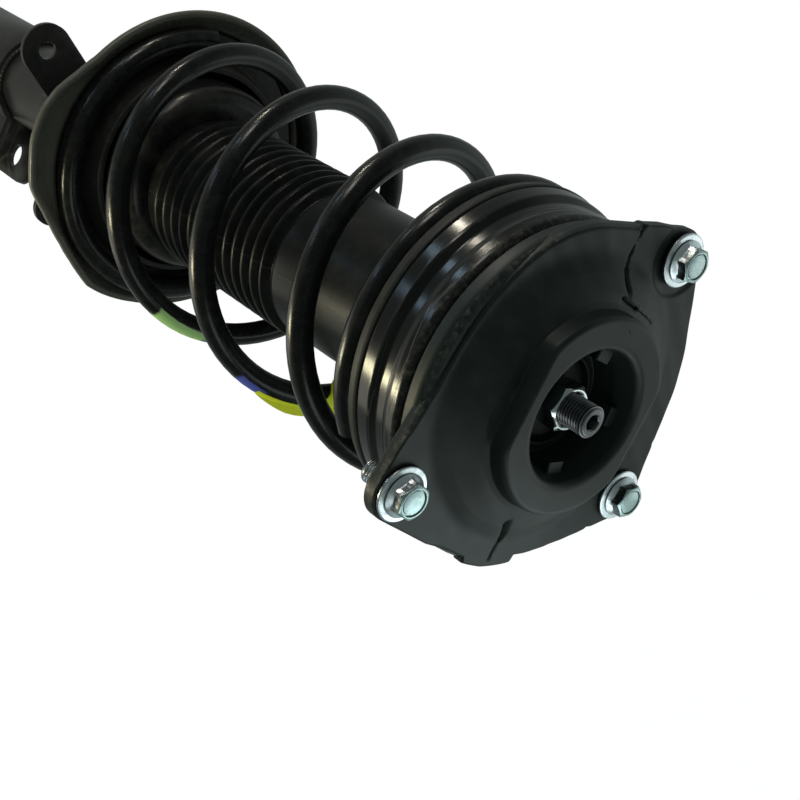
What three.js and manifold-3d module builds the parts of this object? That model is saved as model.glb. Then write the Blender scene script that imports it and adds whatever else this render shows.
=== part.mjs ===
// Front suspension strut assembly: bolted top mount, swivelling upper spring seat, coil spring,
// dust boot and a telescopic damper with a clamp bracket for the wheel knuckle.
// Millimetres. +Z runs up the damper rod. The origin is where the rod's axis meets the plane
// of the three mounting pads on top of the top mount.

import * as THREE from "three";
import { mergeVertices } from "three/addons/utils/BufferGeometryUtils.js";
import Module from "manifold-3d";

const wasm = await Module();
wasm.setup();

// ---------------------------------------------------------------- driving dimensions

const GAP = 0.3; // clearance between pieces that touch
const RUN = 0.8; // running clearance between the mount and the swivelling seat
const SHEET = 2.5; // pressed spring seat sheet

// top mount
const BOLT_CIRCLE_R = 80.5;
const BOLT_R = 5;
const BOLT_LENGTH = 19; // below the pad plane
const BOLT_HEAD_AF = 14;
const BOLT_HEAD_H = 6.4;
const BOLT_WASHER_R = 12;
const BOLT_WASHER_T = 2;
const WELD_NUT_R = 7.5;
const WELD_NUT_H = 4;
const LOBE_R = 13;
// each lobe: direction of its bolt, and how far outside the skirt the body's edge lies on
// either side of it
const LOBES = [
  { angle: -25, before: 7, after: 2 },
  { angle: 131, before: -6, after: 3.5 },
  { angle: 247, before: 3.5, after: 7 },
];
const COVER_T = 2.2; // rubber over the steel plate
const PLATE_T = 3.2;
const PLATE_INSET = 0.6;
const PLATE_BORE_R = 50;
const COLLAR_T = 3;
const SKIRT_T = 4.4;
const MOUNT_DEPTH = 10.5; // underside of the mount, below the pad plane
const SHOULDER_R = 7.5;
const SHOULDER_DROP = 1; // the shoulder starts this far below the pads
const RING_R = 44; // raised buffer ring on top
const RING_TOP = 18.6;
const RING_FOOT = 10.5;
const RING_HALF_FLAT = 38.5;
const SHOULDER_W = 10;
const DOME_INSET = 1.5; // from halfway between the ring and the skirt
const DOME_H = 4.2;
const BORE_TOP_R = 30;
const BORE_MID_R = 26.6;
const BORE_FOOT_R = 25;
const GROOVE_FLOOR = -3;
const NUB_SIZE = [9, 3.4, 4.5]; // width, stand-off and height of the four stops in the bore
const NUB_TOP = 11.5;

// inner sleeve and the rod's fixings
const SLEEVE_R = 21.3;
const SLEEVE_T = 2;
const SLEEVE_FLOOR_T = 3.8;
const SLEEVE_DEPTH = 8.7;
const ROD_WASHER_R = 17;
const ROD_WASHER_T = 2.7;
const ROD_NUT_AF = 19;
const ROD_NUT_H = 11.4;
const ROD_R = 11;
const STUD_R = 7;
const STUD_TOP = 21.9;
const SOCKET_AF = 6;
const SOCKET_DEPTH = 7;

// bearing
const BALL_R = 3;
const BALL_COUNT = 10;
const BALL_CIRCLE_R = 42;
const RACE_HALF_W = 8;
const RACE_T = 5;
const CAGE_HALF_W = 4.6;
const CAGE_T = 2.4;
const TRACK_GAP = 0.4;
const TRACK_DEPTH = 0.6; // how far a ball sinks into each race

// spring and its seats
const SPRING_OFFSET = 3.6; // spring axis from rod axis, along +X
const SPRING_R = 69; // centre of the wire
const WIRE_R = 5.85;
const SPRING_PITCH = 76.6;
const SPRING_PHASE = 28.2; // direction of the wire in degrees where its height is SPRING_DATUM
const SPRING_DATUM = -102.4;
const END_TURN = 0.62; // turns of each closed end beyond where it leaves the pitch
const END_EASE = 0.3; // turns over which the pitch eases to flat
const UPPER_SEAT_R = SPRING_R + 5; // lower edge, round the spring's axis
const SKIRT_R = SPRING_R + 4; // outer edge of the top mount's rubber, above the seat
const UPPER_SEAT_DEPTH = 37.6; // lower edge of the seat's flange
const UPPER_ROLL_R = SPRING_R + 4.2; // upper edge, round the rod's axis
const UPPER_WAIST_R = SPRING_R + 3.2; // shallow groove between the two rolls
const UPPER_CHANNEL_R = SPRING_R - 1;
const UPPER_INSULATOR_T = 6; // rubber below the flange's edge
const UPPER_INSULATOR_IN_R = SPRING_R - 12;
const POCKET_FLOOR_T = 2.5;
const NECK_R = 30;
const NECK_T = 3;
const NECK_H = 12;
const LOWER_SEAT_R = SPRING_R + 12;
const LOWER_FLOOR = -297; // upper face of the lower seat's trough
const LOWER_RIM = -287;
const LOWER_DOME_R = SPRING_R - 19;
const LOWER_DOME_TOP = -262;
const LOWER_SHEET = 3;
const LOWER_INSULATOR_T = 3;
// how far the pan's edge lies outside its circle, by direction in degrees
const PAN_REACH = [
  [0, 0], [66, 0], [75, 2.5], [83, 6.7], [90, 8.8], [100, 9.2], [108, 7.6], [116, 6.7], [120, 4.4],
  [125, 1.5], [132, -0.9], [140, -2.3], [149, -2.3], [156, -1.3], [162, 0], [168, -0.7],
  [176, -1.9], [184, -3], [196, -3.5], [210, -3.5], [240, 0], [361, 0],
];
const DRAIN = { r: 3.5, out: SPRING_R + 1, angle: 132 };

// dust boot
const BOOT_R = 37.5;
const BOOT_WALL = 2;
const BOOT_NECK_IN_R = 33.4;
const BELLOWS_R = 41.7;
const BELLOWS_TOP = -150;
const BELLOWS_COUNT = 13;
const BELLOWS_PITCH = 7.9;
const BELLOWS_DEPTH = 5.2;
const CUFF_R = 37;

// bump stop
const STOP_R = 24;
const STOP_BOTTOM = -99;
const STOP_CUP_R = 27;
const STOP_CUP_T = 2;
const STOP_CUP_H = 9;

// damper
const TUBE_R = 26;
const TUBE_WALL = 2.3;
const CAP_TOP = -176;
const CAP_T = 2.5;
const CAP_H = 14;
const TUBE_BOTTOM = -560;
const TUBE_FLOOR_T = 3;
const SEAL_R = 19;
const SEAL_H = 5;
const GUIDE_H = 16;
const GUIDE_FOOT_H = 6; // the guide's foot plugs the inner tube
const INNER_TUBE_R = 17.5;
const INNER_TUBE_WALL = 1.5;
const REBOUND_STOP_R = 14;
const REBOUND_STOP_H = 9;
const PISTON_H = 22;
const PISTON_RING_T = 0.7;
const PISTON_RING_H = 8;
const PISTON_STUD_R = 6;
const PISTON_NUT_AF = 17;
const PISTON_NUT_H = 8;
const BASE_VALVE_H = 12;

// brackets on the damper tube
const BRACKET_T = 4.2;
const BRACKET_TOP = -450;
const BRACKET_H = 102;
const BRACKET_REACH = 62;
const BRACKET_GAP = 24;
const BRACKET_HOLE_R = 7.2;
const BRACKET_HOLE_EDGE = 14;
const BRACKET_HOLE_STEP = 56;
const TAB_T = 3;
const LINK_TAB = { z: -392, angle: 60, reach: 24, width: 30, hole: 5.2 };
const HOSE_TAB = { z: -345, angle: 150, reach: 32, width: 22, hole: 4 };

// ---------------------------------------------------------------- helpers

const FINE = 36; // facets round a large circle
const MEDIUM = 24;
const SMALL = 16;
const STEPS_PER_TURN = 20;

const rad = THREE.MathUtils.degToRad;
const polar = (r, degrees) => [r * Math.cos(rad(degrees)), r * Math.sin(rad(degrees))];

// revolve a list of [radius, height] about Z; the outer side of the list runs upwards
function revolve(profile, facets = FINE) {
  const points = profile.map(([r, z]) => new THREE.Vector2(r, z));
  return new THREE.LatheGeometry(points, facets).rotateX(Math.PI / 2);
}

// a revolved ring that closes on itself
function ring(profile, facets = FINE) {
  return revolve([...profile, profile[0]], facets);
}

function tube(inner, outer, bottom, top, facets = FINE) {
  return ring([[outer, bottom], [outer, top], [inner, top], [inner, bottom]], facets);
}

function disc(radius, bottom, top, facets = FINE) {
  return revolve([[0, bottom], [radius, bottom], [radius, top], [0, top]], facets);
}

// points of an arc, angles in degrees, ends included
function arc(cx, cy, r, from, to, steps) {
  const points = [];
  for (let i = 0; i <= steps; i++) {
    const [x, y] = polar(r, from + ((to - from) * i) / steps);
    points.push([cx + x, cy + y]);
  }
  return points;
}

function extrude(outline, bottom, top) {
  const shape = new THREE.Shape(outline.map(([x, y]) => new THREE.Vector2(x, y)));
  const depth = top - bottom;
  const geometry = new THREE.ExtrudeGeometry(shape, { depth, bevelEnabled: false });
  return geometry.translate(0, 0, bottom);
}

function hexagon(acrossFlats) {
  const corners = [];
  for (let i = 0; i < 6; i++) corners.push(polar(acrossFlats / Math.sqrt(3), 60 * i + 30));
  return corners;
}

function block(x, y, z, cx, cy, cz) {
  return new THREE.BoxGeometry(x, y, z).translate(cx, cy, cz);
}

function toSolid(geometry) {
  const bare = geometry.clone();
  bare.deleteAttribute("normal");
  bare.deleteAttribute("uv");
  const merged = mergeVertices(bare, 1e-4);
  const mesh = new wasm.Mesh({
    numProp: 3,
    vertProperties: new Float32Array(merged.attributes.position.array),
    triVerts: new Uint32Array(merged.index.array),
  });
  return new wasm.Manifold(mesh);
}

function toGeometry(solid) {
  const mesh = solid.getMesh();
  const geometry = new THREE.BufferGeometry();
  geometry.setAttribute("position", new THREE.BufferAttribute(mesh.vertProperties, 3));
  geometry.setIndex(new THREE.BufferAttribute(mesh.triVerts, 1));
  geometry.computeVertexNormals();
  return geometry;
}

function join(...geometries) {
  return toGeometry(geometries.map(toSolid).reduce((a, b) => a.add(b)));
}

function cut(geometry, ...tools) {
  return toGeometry(tools.map(toSolid).reduce((a, b) => a.subtract(b), toSolid(geometry)));
}

// ---------------------------------------------------------------- materials

const finish = (color, metalness, roughness) =>
  new THREE.MeshStandardMaterial({ color, metalness, roughness });

const rubber = finish(0x1b1d1d, 0, 0.75);
const blackSteel = finish(0x0c0d0e, 0.3, 0.35);
const springPaint = finish(0x0a0b0c, 0.2, 0.25);
const bootPlastic = finish(0x111212, 0, 0.45);
const zinc = finish(0xc3ccd2, 1, 0.3);
const chrome = finish(0xd8dadc, 1, 0.12);
const bareSteel = finish(0x8d9093, 1, 0.4);
const bearingPlastic = finish(0x2a2c2e, 0, 0.5);
const urethane = finish(0xc9b98a, 0, 0.8);

const strut = new THREE.Group();

function piece(name, geometry, material) {
  const mesh = new THREE.Mesh(geometry, material);
  mesh.name = name;
  strut.add(mesh);
  return mesh;
}

// ---------------------------------------------------------------- top mount

// the convex outline round a set of points
function hull(points) {
  const sorted = [...points].sort((a, b) => a[0] - b[0] || a[1] - b[1]);
  const turn = (o, a, b) => (a[0] - o[0]) * (b[1] - o[1]) - (a[1] - o[1]) * (b[0] - o[0]);
  const half = (list) => {
    const chain = [];
    for (const point of list) {
      while (chain.length > 1 && turn(chain.at(-2), chain.at(-1), point) <= 1e-6) chain.pop();
      chain.push(point);
    }
    return chain.slice(0, -1);
  };
  return [...half(sorted), ...half(sorted.reverse())];
}

// Outline of the three-lobed plate, pulled in by `inset`: straight flanks run from the circle
// round each bolt to the body's edge, whose radius eases from one lobe's value to the next.
function mountOutline(inset) {
  const points = [];
  LOBES.forEach((lobe, i) => {
    const next = LOBES[(i + 1) % LOBES.length];
    const [x, y] = polar(BOLT_CIRCLE_R, lobe.angle);
    points.push(...arc(x, y, LOBE_R - inset, 0, 345, 23));
    const spread = (outside) =>
      THREE.MathUtils.radToDeg(Math.acos((SKIRT_R + outside - LOBE_R) / BOLT_CIRCLE_R));
    const from = lobe.angle + spread(lobe.after);
    const turn = ((next.angle - lobe.angle + 360) % 360) - spread(lobe.after) - spread(next.before);
    const steps = Math.max(1, Math.round(turn / 7));
    for (let k = 0; k <= steps; k++) {
      const t = k / steps;
      const outside = THREE.MathUtils.lerp(lobe.after, next.before, THREE.MathUtils.smoothstep(t, 0, 1));
      points.push(polar(SKIRT_R + outside - inset, from + turn * t));
    }
  });
  return hull(points);
}

const boltPlaces = LOBES.map((lobe) => polar(BOLT_CIRCLE_R, lobe.angle));
const plateTop = -COVER_T - GAP;
const plateBottom = plateTop - PLATE_T;
const collarR = PLATE_BORE_R + COLLAR_T;

function boltHoles(radius, bottom, top) {
  return boltPlaces.map(([x, y]) => disc(radius, bottom, top, SMALL).translate(x, y, 0));
}

function mountPlate() {
  const flange = extrude(mountOutline(PLATE_INSET), plateBottom, plateTop);
  const collar = disc(collarR, -MOUNT_DEPTH, plateBottom + 1);
  const bore = disc(PLATE_BORE_R, -MOUNT_DEPTH - 1, plateTop + 1);
  return cut(join(flange, collar), bore, ...boltHoles(BOLT_R + GAP, plateBottom - 1, 1));
}

// The rubber covers the plate, hangs down as a skirt, and rises as a dome and a buffer ring.
function mountRubber() {
  const skirtIn = SKIRT_R - SKIRT_T;
  const bushR = PLATE_BORE_R - GAP;
  const hollowTop = plateTop - 1;
  const bushFoot = STOP_CUP_R + 2;
  const domeR = (RING_R + SKIRT_R) / 2 - DOME_INSET;
  const body = ring([
    [SKIRT_R, -MOUNT_DEPTH],
    ...arc(SKIRT_R - SHOULDER_R, -SHOULDER_R - SHOULDER_DROP, SHOULDER_R, 0, 90, 5),
    [SKIRT_R - SHOULDER_W, 0],
    [domeR, DOME_H],
    [RING_R + 2.5, RING_FOOT - 1.5],
    [RING_R, RING_FOOT],
    ...arc(RING_R - 2, RING_TOP - 2, 2, 0, 90, 3),
    ...arc(BORE_TOP_R + 3, RING_TOP - 3, 3, 90, 180, 3),
    [BORE_MID_R, 8],
    [BORE_FOOT_R, GROOVE_FLOOR],
    [SLEEVE_R + GAP, GROOVE_FLOOR],
    [SLEEVE_R + GAP, -SLEEVE_DEPTH],
    [bushFoot, -SLEEVE_DEPTH],
    [bushFoot, -MOUNT_DEPTH],
    [bushR, -MOUNT_DEPTH],
    [bushR, hollowTop],
    [skirtIn, hollowTop],
    [skirtIn, -MOUNT_DEPTH],
  ]);
  const flankH = RING_TOP - RING_FOOT + 1;
  const flankY = RING_HALF_FLAT + RING_R / 2;
  const flanks = [1, -1].map((side) =>
    block(3 * RING_R, RING_R, flankH, 0, side * flankY, RING_FOOT + flankH / 2));
  const [nubW, nubStand, nubH] = NUB_SIZE;
  const nubs = [0, 90, 180, 270].map((angle) =>
    block(2 * nubStand, nubW, nubH, BORE_MID_R, 0, NUB_TOP - nubH / 2).rotateZ(rad(angle)));
  const cover = cut(extrude(mountOutline(0), -COVER_T, 0), disc(bushR, -COVER_T - 1, 1));
  const pocket = extrude(mountOutline(PLATE_INSET - GAP), plateBottom - GAP, -COVER_T);
  const slot = cut(pocket, disc(bushR, plateBottom - 1, 1));
  const flat = cut(body, ...flanks);
  return cut(join(flat, cover, ...nubs), slot, ...boltHoles(BOLT_R + GAP, plateBottom - 1, 1));
}

piece("mount_plate", mountPlate(), blackSteel);
piece("mount_rubber", mountRubber(), rubber);

// ---------------------------------------------------------------- mount bolts

const washerTop = GAP + BOLT_WASHER_T;
const weldNutTop = plateBottom - GAP;

function mountBolt() {
  const head = extrude(hexagon(BOLT_HEAD_AF), 0, BOLT_HEAD_H);
  const crown = revolve([
    [0, 0],
    [BOLT_HEAD_AF, 0],
    [BOLT_HEAD_AF, BOLT_HEAD_H - 4],
    [BOLT_HEAD_AF / 2 - 0.4, BOLT_HEAD_H],
    [0, BOLT_HEAD_H],
  ], SMALL);
  const bevelled = toGeometry(toSolid(head).intersect(toSolid(crown)));
  const headBottom = washerTop + GAP;
  return join(
    bevelled.translate(0, 0, headBottom),
    disc(BOLT_R, -BOLT_LENGTH, headBottom + 1, SMALL),
  );
}

boltPlaces.forEach(([x, y], i) => {
  const holeR = BOLT_R + GAP;
  piece("mount_bolt_" + (i + 1), mountBolt(), zinc).position.set(x, y, 0);
  const washer = tube(holeR, BOLT_WASHER_R, GAP, washerTop, MEDIUM);
  piece("mount_washer_" + (i + 1), washer, zinc).position.set(x, y, 0);
  const nut = tube(holeR, WELD_NUT_R, weldNutTop - WELD_NUT_H, weldNutTop, SMALL);
  piece("weld_nut_" + (i + 1), nut, zinc).position.set(x, y, 0);
});

// ---------------------------------------------------------------- sleeve and rod fixings

const sleeveFloor = SLEEVE_FLOOR_T - SLEEVE_DEPTH;
const rodWasherBottom = sleeveFloor + GAP;
const rodNutBottom = rodWasherBottom + ROD_WASHER_T + GAP;
const studHole = STUD_R + GAP;
const cupTop = -SLEEVE_DEPTH - GAP;
const rodShoulder = cupTop - STOP_CUP_T - GAP;

const sleeve = ring([
  [SLEEVE_R, -SLEEVE_DEPTH],
  [SLEEVE_R, 0],
  [SLEEVE_R - SLEEVE_T, 0],
  [SLEEVE_R - SLEEVE_T, sleeveFloor],
  [studHole, sleeveFloor],
  [studHole, -SLEEVE_DEPTH],
], MEDIUM);
piece("inner_sleeve", sleeve, blackSteel);

const rodWasher = tube(studHole, ROD_WASHER_R, rodWasherBottom, rodWasherBottom + ROD_WASHER_T, MEDIUM);
piece("rod_washer", rodWasher, zinc);

const nutBody = extrude(hexagon(ROD_NUT_AF), rodNutBottom, rodNutBottom + ROD_NUT_H);
const nutBore = disc(studHole, rodNutBottom - 1, rodNutBottom + ROD_NUT_H + 1, SMALL);
piece("rod_nut", cut(nutBody, nutBore), zinc);

// ---------------------------------------------------------------- bump stop on the rod

const cupBottom = cupTop - STOP_CUP_H;
const stopCup = ring([
  [STOP_CUP_R, cupBottom],
  [STOP_CUP_R, cupTop],
  [studHole, cupTop],
  [studHole, cupTop - STOP_CUP_T],
  [STOP_CUP_R - STOP_CUP_T, cupTop - STOP_CUP_T],
  [STOP_CUP_R - STOP_CUP_T, cupBottom],
], MEDIUM);
piece("bump_stop_cup", stopCup, blackSteel);

function bumpStop() {
  const top = rodShoulder;
  const waist = STOP_R - 4.5;
  const height = top - STOP_BOTTOM;
  return ring([
    [STOP_R - 8, STOP_BOTTOM],
    [STOP_R - 4, STOP_BOTTOM + 0.12 * height],
    [waist - 3, STOP_BOTTOM + 0.25 * height],
    [STOP_R - 1, STOP_BOTTOM + 0.37 * height],
    [waist, STOP_BOTTOM + 0.52 * height],
    [STOP_R, STOP_BOTTOM + 0.66 * height],
    [STOP_R, top],
    [ROD_R + GAP, top],
    [ROD_R + GAP, STOP_BOTTOM],
  ], MEDIUM);
}
piece("bump_stop", bumpStop(), urethane);

// ---------------------------------------------------------------- top mount bearing

const raceTop = -MOUNT_DEPTH - GAP;
const ballZ = raceTop - RACE_T - BALL_R + TRACK_DEPTH;
const raceIn = BALL_CIRCLE_R - RACE_HALF_W;
const raceOut = BALL_CIRCLE_R + RACE_HALF_W;
const lowerRaceTop = 2 * ballZ - (raceTop - RACE_T);
const lowerRaceBottom = lowerRaceTop - RACE_T;

function raceWithTrack(bottom, top) {
  const track = arc(BALL_CIRCLE_R, ballZ, BALL_R + TRACK_GAP, 0, 360, 8);
  track[8] = track[0];
  return cut(tube(raceIn, raceOut, bottom, top), revolve(track));
}

piece("bearing_upper_race", raceWithTrack(raceTop - RACE_T, raceTop), bearingPlastic);
piece("bearing_lower_race", raceWithTrack(lowerRaceBottom, lowerRaceTop), bearingPlastic);

const ballPlaces = [];
for (let i = 0; i < BALL_COUNT; i++) {
  ballPlaces.push(polar(BALL_CIRCLE_R, (360 / BALL_COUNT) * i));
}

const cageRing = tube(
  BALL_CIRCLE_R - CAGE_HALF_W,
  BALL_CIRCLE_R + CAGE_HALF_W,
  ballZ - CAGE_T / 2,
  ballZ + CAGE_T / 2,
);
const cageHoles = ballPlaces.map(([x, y]) =>
  disc(BALL_R + TRACK_GAP, ballZ - CAGE_T, ballZ + CAGE_T, 12).translate(x, y, 0));
piece("bearing_cage", cut(cageRing, ...cageHoles), bearingPlastic);

ballPlaces.forEach(([x, y], i) => {
  const ball = piece("bearing_ball_" + (i + 1), new THREE.IcosahedronGeometry(BALL_R, 1), bareSteel);
  ball.position.set(x, y, ballZ);
});

// ---------------------------------------------------------------- upper spring seat

const seatTop = -MOUNT_DEPTH - RUN;
const seatBottom = -UPPER_SEAT_DEPTH;
const pocketR = raceOut + 1;
const pocketFloor = lowerRaceBottom - GAP;
const pocketBottom = pocketFloor - POCKET_FLOOR_T;
const insulatorBottom = seatBottom - UPPER_INSULATOR_T;

// Shifts a shape along +X, from nothing at the seat's top to the spring's offset at its foot.
function lean(geometry) {
  const points = geometry.attributes.position;
  for (let i = 0; i < points.count; i++) {
    const share = (seatTop - points.getZ(i)) / (seatTop - seatBottom);
    points.setX(i, points.getX(i) + SPRING_OFFSET * share);
  }
  return geometry;
}

function upperSeat() {
  const waistZ = (seatTop + seatBottom) / 2;
  const wall = (inset) => [
    [UPPER_SEAT_R - inset, seatBottom],
    ...arc(UPPER_SEAT_R - 5, seatBottom + 5, 5 - inset, 0, 55, 3),
    [UPPER_WAIST_R - inset, waistZ - 1],
    [UPPER_WAIST_R - inset, waistZ + 2],
    ...arc(UPPER_ROLL_R - 5, seatTop - 5, 5 - inset, 0, 90, 4),
  ];
  const rim = [[pocketR, seatTop], [pocketR, seatTop - SHEET]];
  const shell = lean(ring([...wall(0), ...rim, ...wall(SHEET).reverse()]));
  const pocketOut = pocketR + SHEET;
  const neckBottom = pocketBottom - NECK_H;
  const pocket = ring([
    [pocketOut, pocketBottom],
    [pocketOut, seatTop],
    [pocketR, seatTop],
    [pocketR, pocketFloor],
    [NECK_R, pocketFloor],
    [NECK_R, neckBottom],
    [NECK_R + NECK_T, neckBottom],
    [NECK_R + NECK_T, pocketBottom],
  ]);
  return cut(join(shell, pocket), disc(pocketR, pocketFloor, seatTop + 1));
}
piece("upper_spring_seat", upperSeat(), blackSteel);

// The insulator fills the seat's channel; its lip shows below the flange.
function upperInsulator() {
  const centringR = SPRING_R - WIRE_R - 1.5;
  const lipTop = seatBottom - GAP;
  return ring([
    [centringR, insulatorBottom - 2 * WIRE_R],
    [centringR, insulatorBottom],
    [UPPER_SEAT_R + 0.4, insulatorBottom],
    [UPPER_SEAT_R + 0.4, lipTop],
    [UPPER_CHANNEL_R, lipTop],
    [UPPER_CHANNEL_R, pocketBottom - 2],
    [UPPER_INSULATOR_IN_R + SPRING_OFFSET, pocketBottom - 2],
    [UPPER_INSULATOR_IN_R, insulatorBottom - 2 * WIRE_R],
  ]).translate(SPRING_OFFSET, 0, 0);
}
piece("upper_insulator", upperInsulator(), rubber);

// ---------------------------------------------------------------- coil spring

const topCoilZ = insulatorBottom - GAP - WIRE_R;
const bottomCoilZ = LOWER_FLOOR + LOWER_INSULATOR_T + 2 * GAP + WIRE_R;

// Wire height against turns from the datum: a steady pitch that eases to flat at both ends.
class SpringPath extends THREE.Curve {
  constructor() {
    super();
    this.upper = (topCoilZ - SPRING_DATUM) / SPRING_PITCH;
    this.lower = (bottomCoilZ - SPRING_DATUM) / SPRING_PITCH;
    this.start = this.lower - END_TURN;
    this.end = this.upper + END_TURN;
  }

  height(turn) {
    const soften = (over) => {
      const x = THREE.MathUtils.clamp((over + END_EASE) / (2 * END_EASE), 0, 1);
      return over >= END_EASE ? over : END_EASE * x * x;
    };
    const above = soften(turn - this.upper);
    const below = soften(this.lower - turn);
    return SPRING_DATUM + SPRING_PITCH * (turn - above + below);
  }

  getPoint(t, target = new THREE.Vector3()) {
    const turn = this.start + (this.end - this.start) * t;
    const [x, y] = polar(SPRING_R, SPRING_PHASE + 360 * turn);
    return target.set(SPRING_OFFSET + x, y, this.height(turn));
  }
}

const springPath = new SpringPath();
const wireOutline = arc(0, 0, WIRE_R, 0, 315, 7);
const wireSection = new THREE.Shape(wireOutline.map(([x, y]) => new THREE.Vector2(x, y)));
const springTurns = springPath.end - springPath.start;
const spring = new THREE.ExtrudeGeometry(wireSection, {
  steps: Math.round(springTurns * STEPS_PER_TURN),
  extrudePath: springPath,
});
piece("coil_spring", spring, springPaint);

// ---------------------------------------------------------------- dust boot

function dustBoot() {
  const top = pocketBottom - GAP;
  const neckZ = top - NECK_H - 2;
  const crest = BELLOWS_R;
  const root = BELLOWS_R - BELLOWS_DEPTH;
  const outer = [];
  const inner = [];
  for (let i = BELLOWS_COUNT - 1; i >= 0; i--) {
    const z = BELLOWS_TOP - BELLOWS_PITCH * i;
    outer.push([root, z - BELLOWS_PITCH], [crest, z - BELLOWS_PITCH / 2]);
    inner.unshift([root - BOOT_WALL, z], [crest - BOOT_WALL, z - BELLOWS_PITCH / 2]);
  }
  const bellowsBottom = BELLOWS_TOP - BELLOWS_PITCH * BELLOWS_COUNT;
  const bottom = LOWER_DOME_TOP + GAP;
  return ring([
    [CUFF_R, bottom],
    ...outer,
    [root, BELLOWS_TOP],
    [BOOT_R, BELLOWS_TOP + 2],
    [BOOT_R, top],
    [BOOT_NECK_IN_R, top],
    [BOOT_NECK_IN_R, neckZ],
    [BOOT_R - BOOT_WALL, neckZ - 4],
    ...inner,
    [root - BOOT_WALL, bellowsBottom],
    [CUFF_R - BOOT_WALL - 1, bottom],
  ], MEDIUM);
}
piece("dust_boot", dustBoot(), bootPlastic);

// ---------------------------------------------------------------- damper rod and piston

const tubeTop = CAP_TOP - CAP_T - GAP;
const sealTop = tubeTop - GAP;
const guideTop = sealTop - SEAL_H - GAP;
const guideBottom = guideTop - GUIDE_H;
const reboundTop = guideBottom - GAP;
const reboundBottom = reboundTop - REBOUND_STOP_H;
const rodStep = reboundBottom - 6;
const pistonTop = rodStep - GAP;
const pistonBottom = pistonTop - PISTON_H;
const pistonNutTop = pistonBottom - GAP;
const pistonNutBottom = pistonNutTop - PISTON_NUT_H;
const cylinderR = INNER_TUBE_R - INNER_TUBE_WALL;

function pistonRod() {
  const body = revolve([
    [0, pistonNutBottom - 2],
    [PISTON_STUD_R, pistonNutBottom - 2],
    [PISTON_STUD_R, rodStep],
    [ROD_R, rodStep],
    [ROD_R, rodShoulder],
    [STUD_R, rodShoulder],
    [STUD_R, STUD_TOP - 1],
    [STUD_R - 1, STUD_TOP],
    [0, STUD_TOP],
  ], 24);
  return cut(body, extrude(hexagon(SOCKET_AF), STUD_TOP - SOCKET_DEPTH, STUD_TOP + 1));
}
piece("piston_rod", pistonRod(), chrome);

const reboundStop = tube(ROD_R + GAP, REBOUND_STOP_R, reboundBottom, reboundTop, MEDIUM);
piece("rebound_stop", reboundStop, urethane);

const pistonR = cylinderR - PISTON_RING_T - 2 * GAP;
const bandTop = (pistonTop + pistonBottom + PISTON_RING_H) / 2;
const pistonHub = tube(PISTON_STUD_R + GAP, pistonR, pistonBottom, pistonTop, MEDIUM);
piece("piston", pistonHub, bareSteel);

const pistonRing = tube(pistonR + GAP, cylinderR - GAP, bandTop - PISTON_RING_H, bandTop, MEDIUM);
piece("piston_ring", pistonRing, bearingPlastic);

const pistonNut = cut(
  extrude(hexagon(PISTON_NUT_AF), pistonNutBottom, pistonNutTop),
  disc(PISTON_STUD_R + GAP, pistonNutBottom - 1, pistonNutTop + 1, SMALL),
);
piece("piston_nut", pistonNut, zinc);

// ---------------------------------------------------------------- damper tube

const tubeIn = TUBE_R - TUBE_WALL;
const tubeFloor = TUBE_BOTTOM + TUBE_FLOOR_T;

const outerTube = revolve([
  [0, TUBE_BOTTOM],
  [TUBE_R - 6, TUBE_BOTTOM],
  [TUBE_R, TUBE_BOTTOM + 6],
  [TUBE_R, tubeTop],
  [tubeIn, tubeTop],
  [tubeIn, TUBE_BOTTOM + 8],
  [TUBE_R - 7, tubeFloor],
  [0, tubeFloor],
], 36);
piece("outer_tube", outerTube, blackSteel);

const capIn = TUBE_R + GAP;
const cap = ring([
  [capIn + CAP_T, CAP_TOP - CAP_H],
  [capIn + CAP_T, CAP_TOP - 1],
  [capIn + CAP_T - 1, CAP_TOP],
  [ROD_R + 1, CAP_TOP],
  [ROD_R + 1, CAP_TOP - CAP_T],
  [capIn, CAP_TOP - CAP_T],
  [capIn, CAP_TOP - CAP_H],
], 36);
piece("tube_cap", cap, blackSteel);

piece("oil_seal", tube(ROD_R + GAP, SEAL_R, sealTop - SEAL_H, sealTop, MEDIUM), rubber);

const guide = ring([
  [cylinderR - GAP, guideBottom],
  [cylinderR - GAP, guideBottom + GUIDE_FOOT_H],
  [tubeIn - GAP, guideBottom + GUIDE_FOOT_H],
  [tubeIn - GAP, guideTop],
  [ROD_R + GAP, guideTop],
  [ROD_R + GAP, guideBottom],
], MEDIUM);
piece("rod_guide", guide, bareSteel);

const innerBottom = tubeFloor + BASE_VALVE_H + GAP;
const innerTube = tube(cylinderR, INNER_TUBE_R, innerBottom, guideBottom + GUIDE_FOOT_H - GAP, MEDIUM);
piece("inner_tube", innerTube, bareSteel);

const baseValve = revolve([
  [0, tubeFloor + GAP],
  [INNER_TUBE_R, tubeFloor + GAP],
  [INNER_TUBE_R, innerBottom - GAP],
  [cylinderR - GAP, innerBottom - GAP],
  [cylinderR - GAP, innerBottom + 5],
  [0, innerBottom + 5],
], MEDIUM);
piece("base_valve", baseValve, bareSteel);

// ---------------------------------------------------------------- lower spring seat

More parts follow.
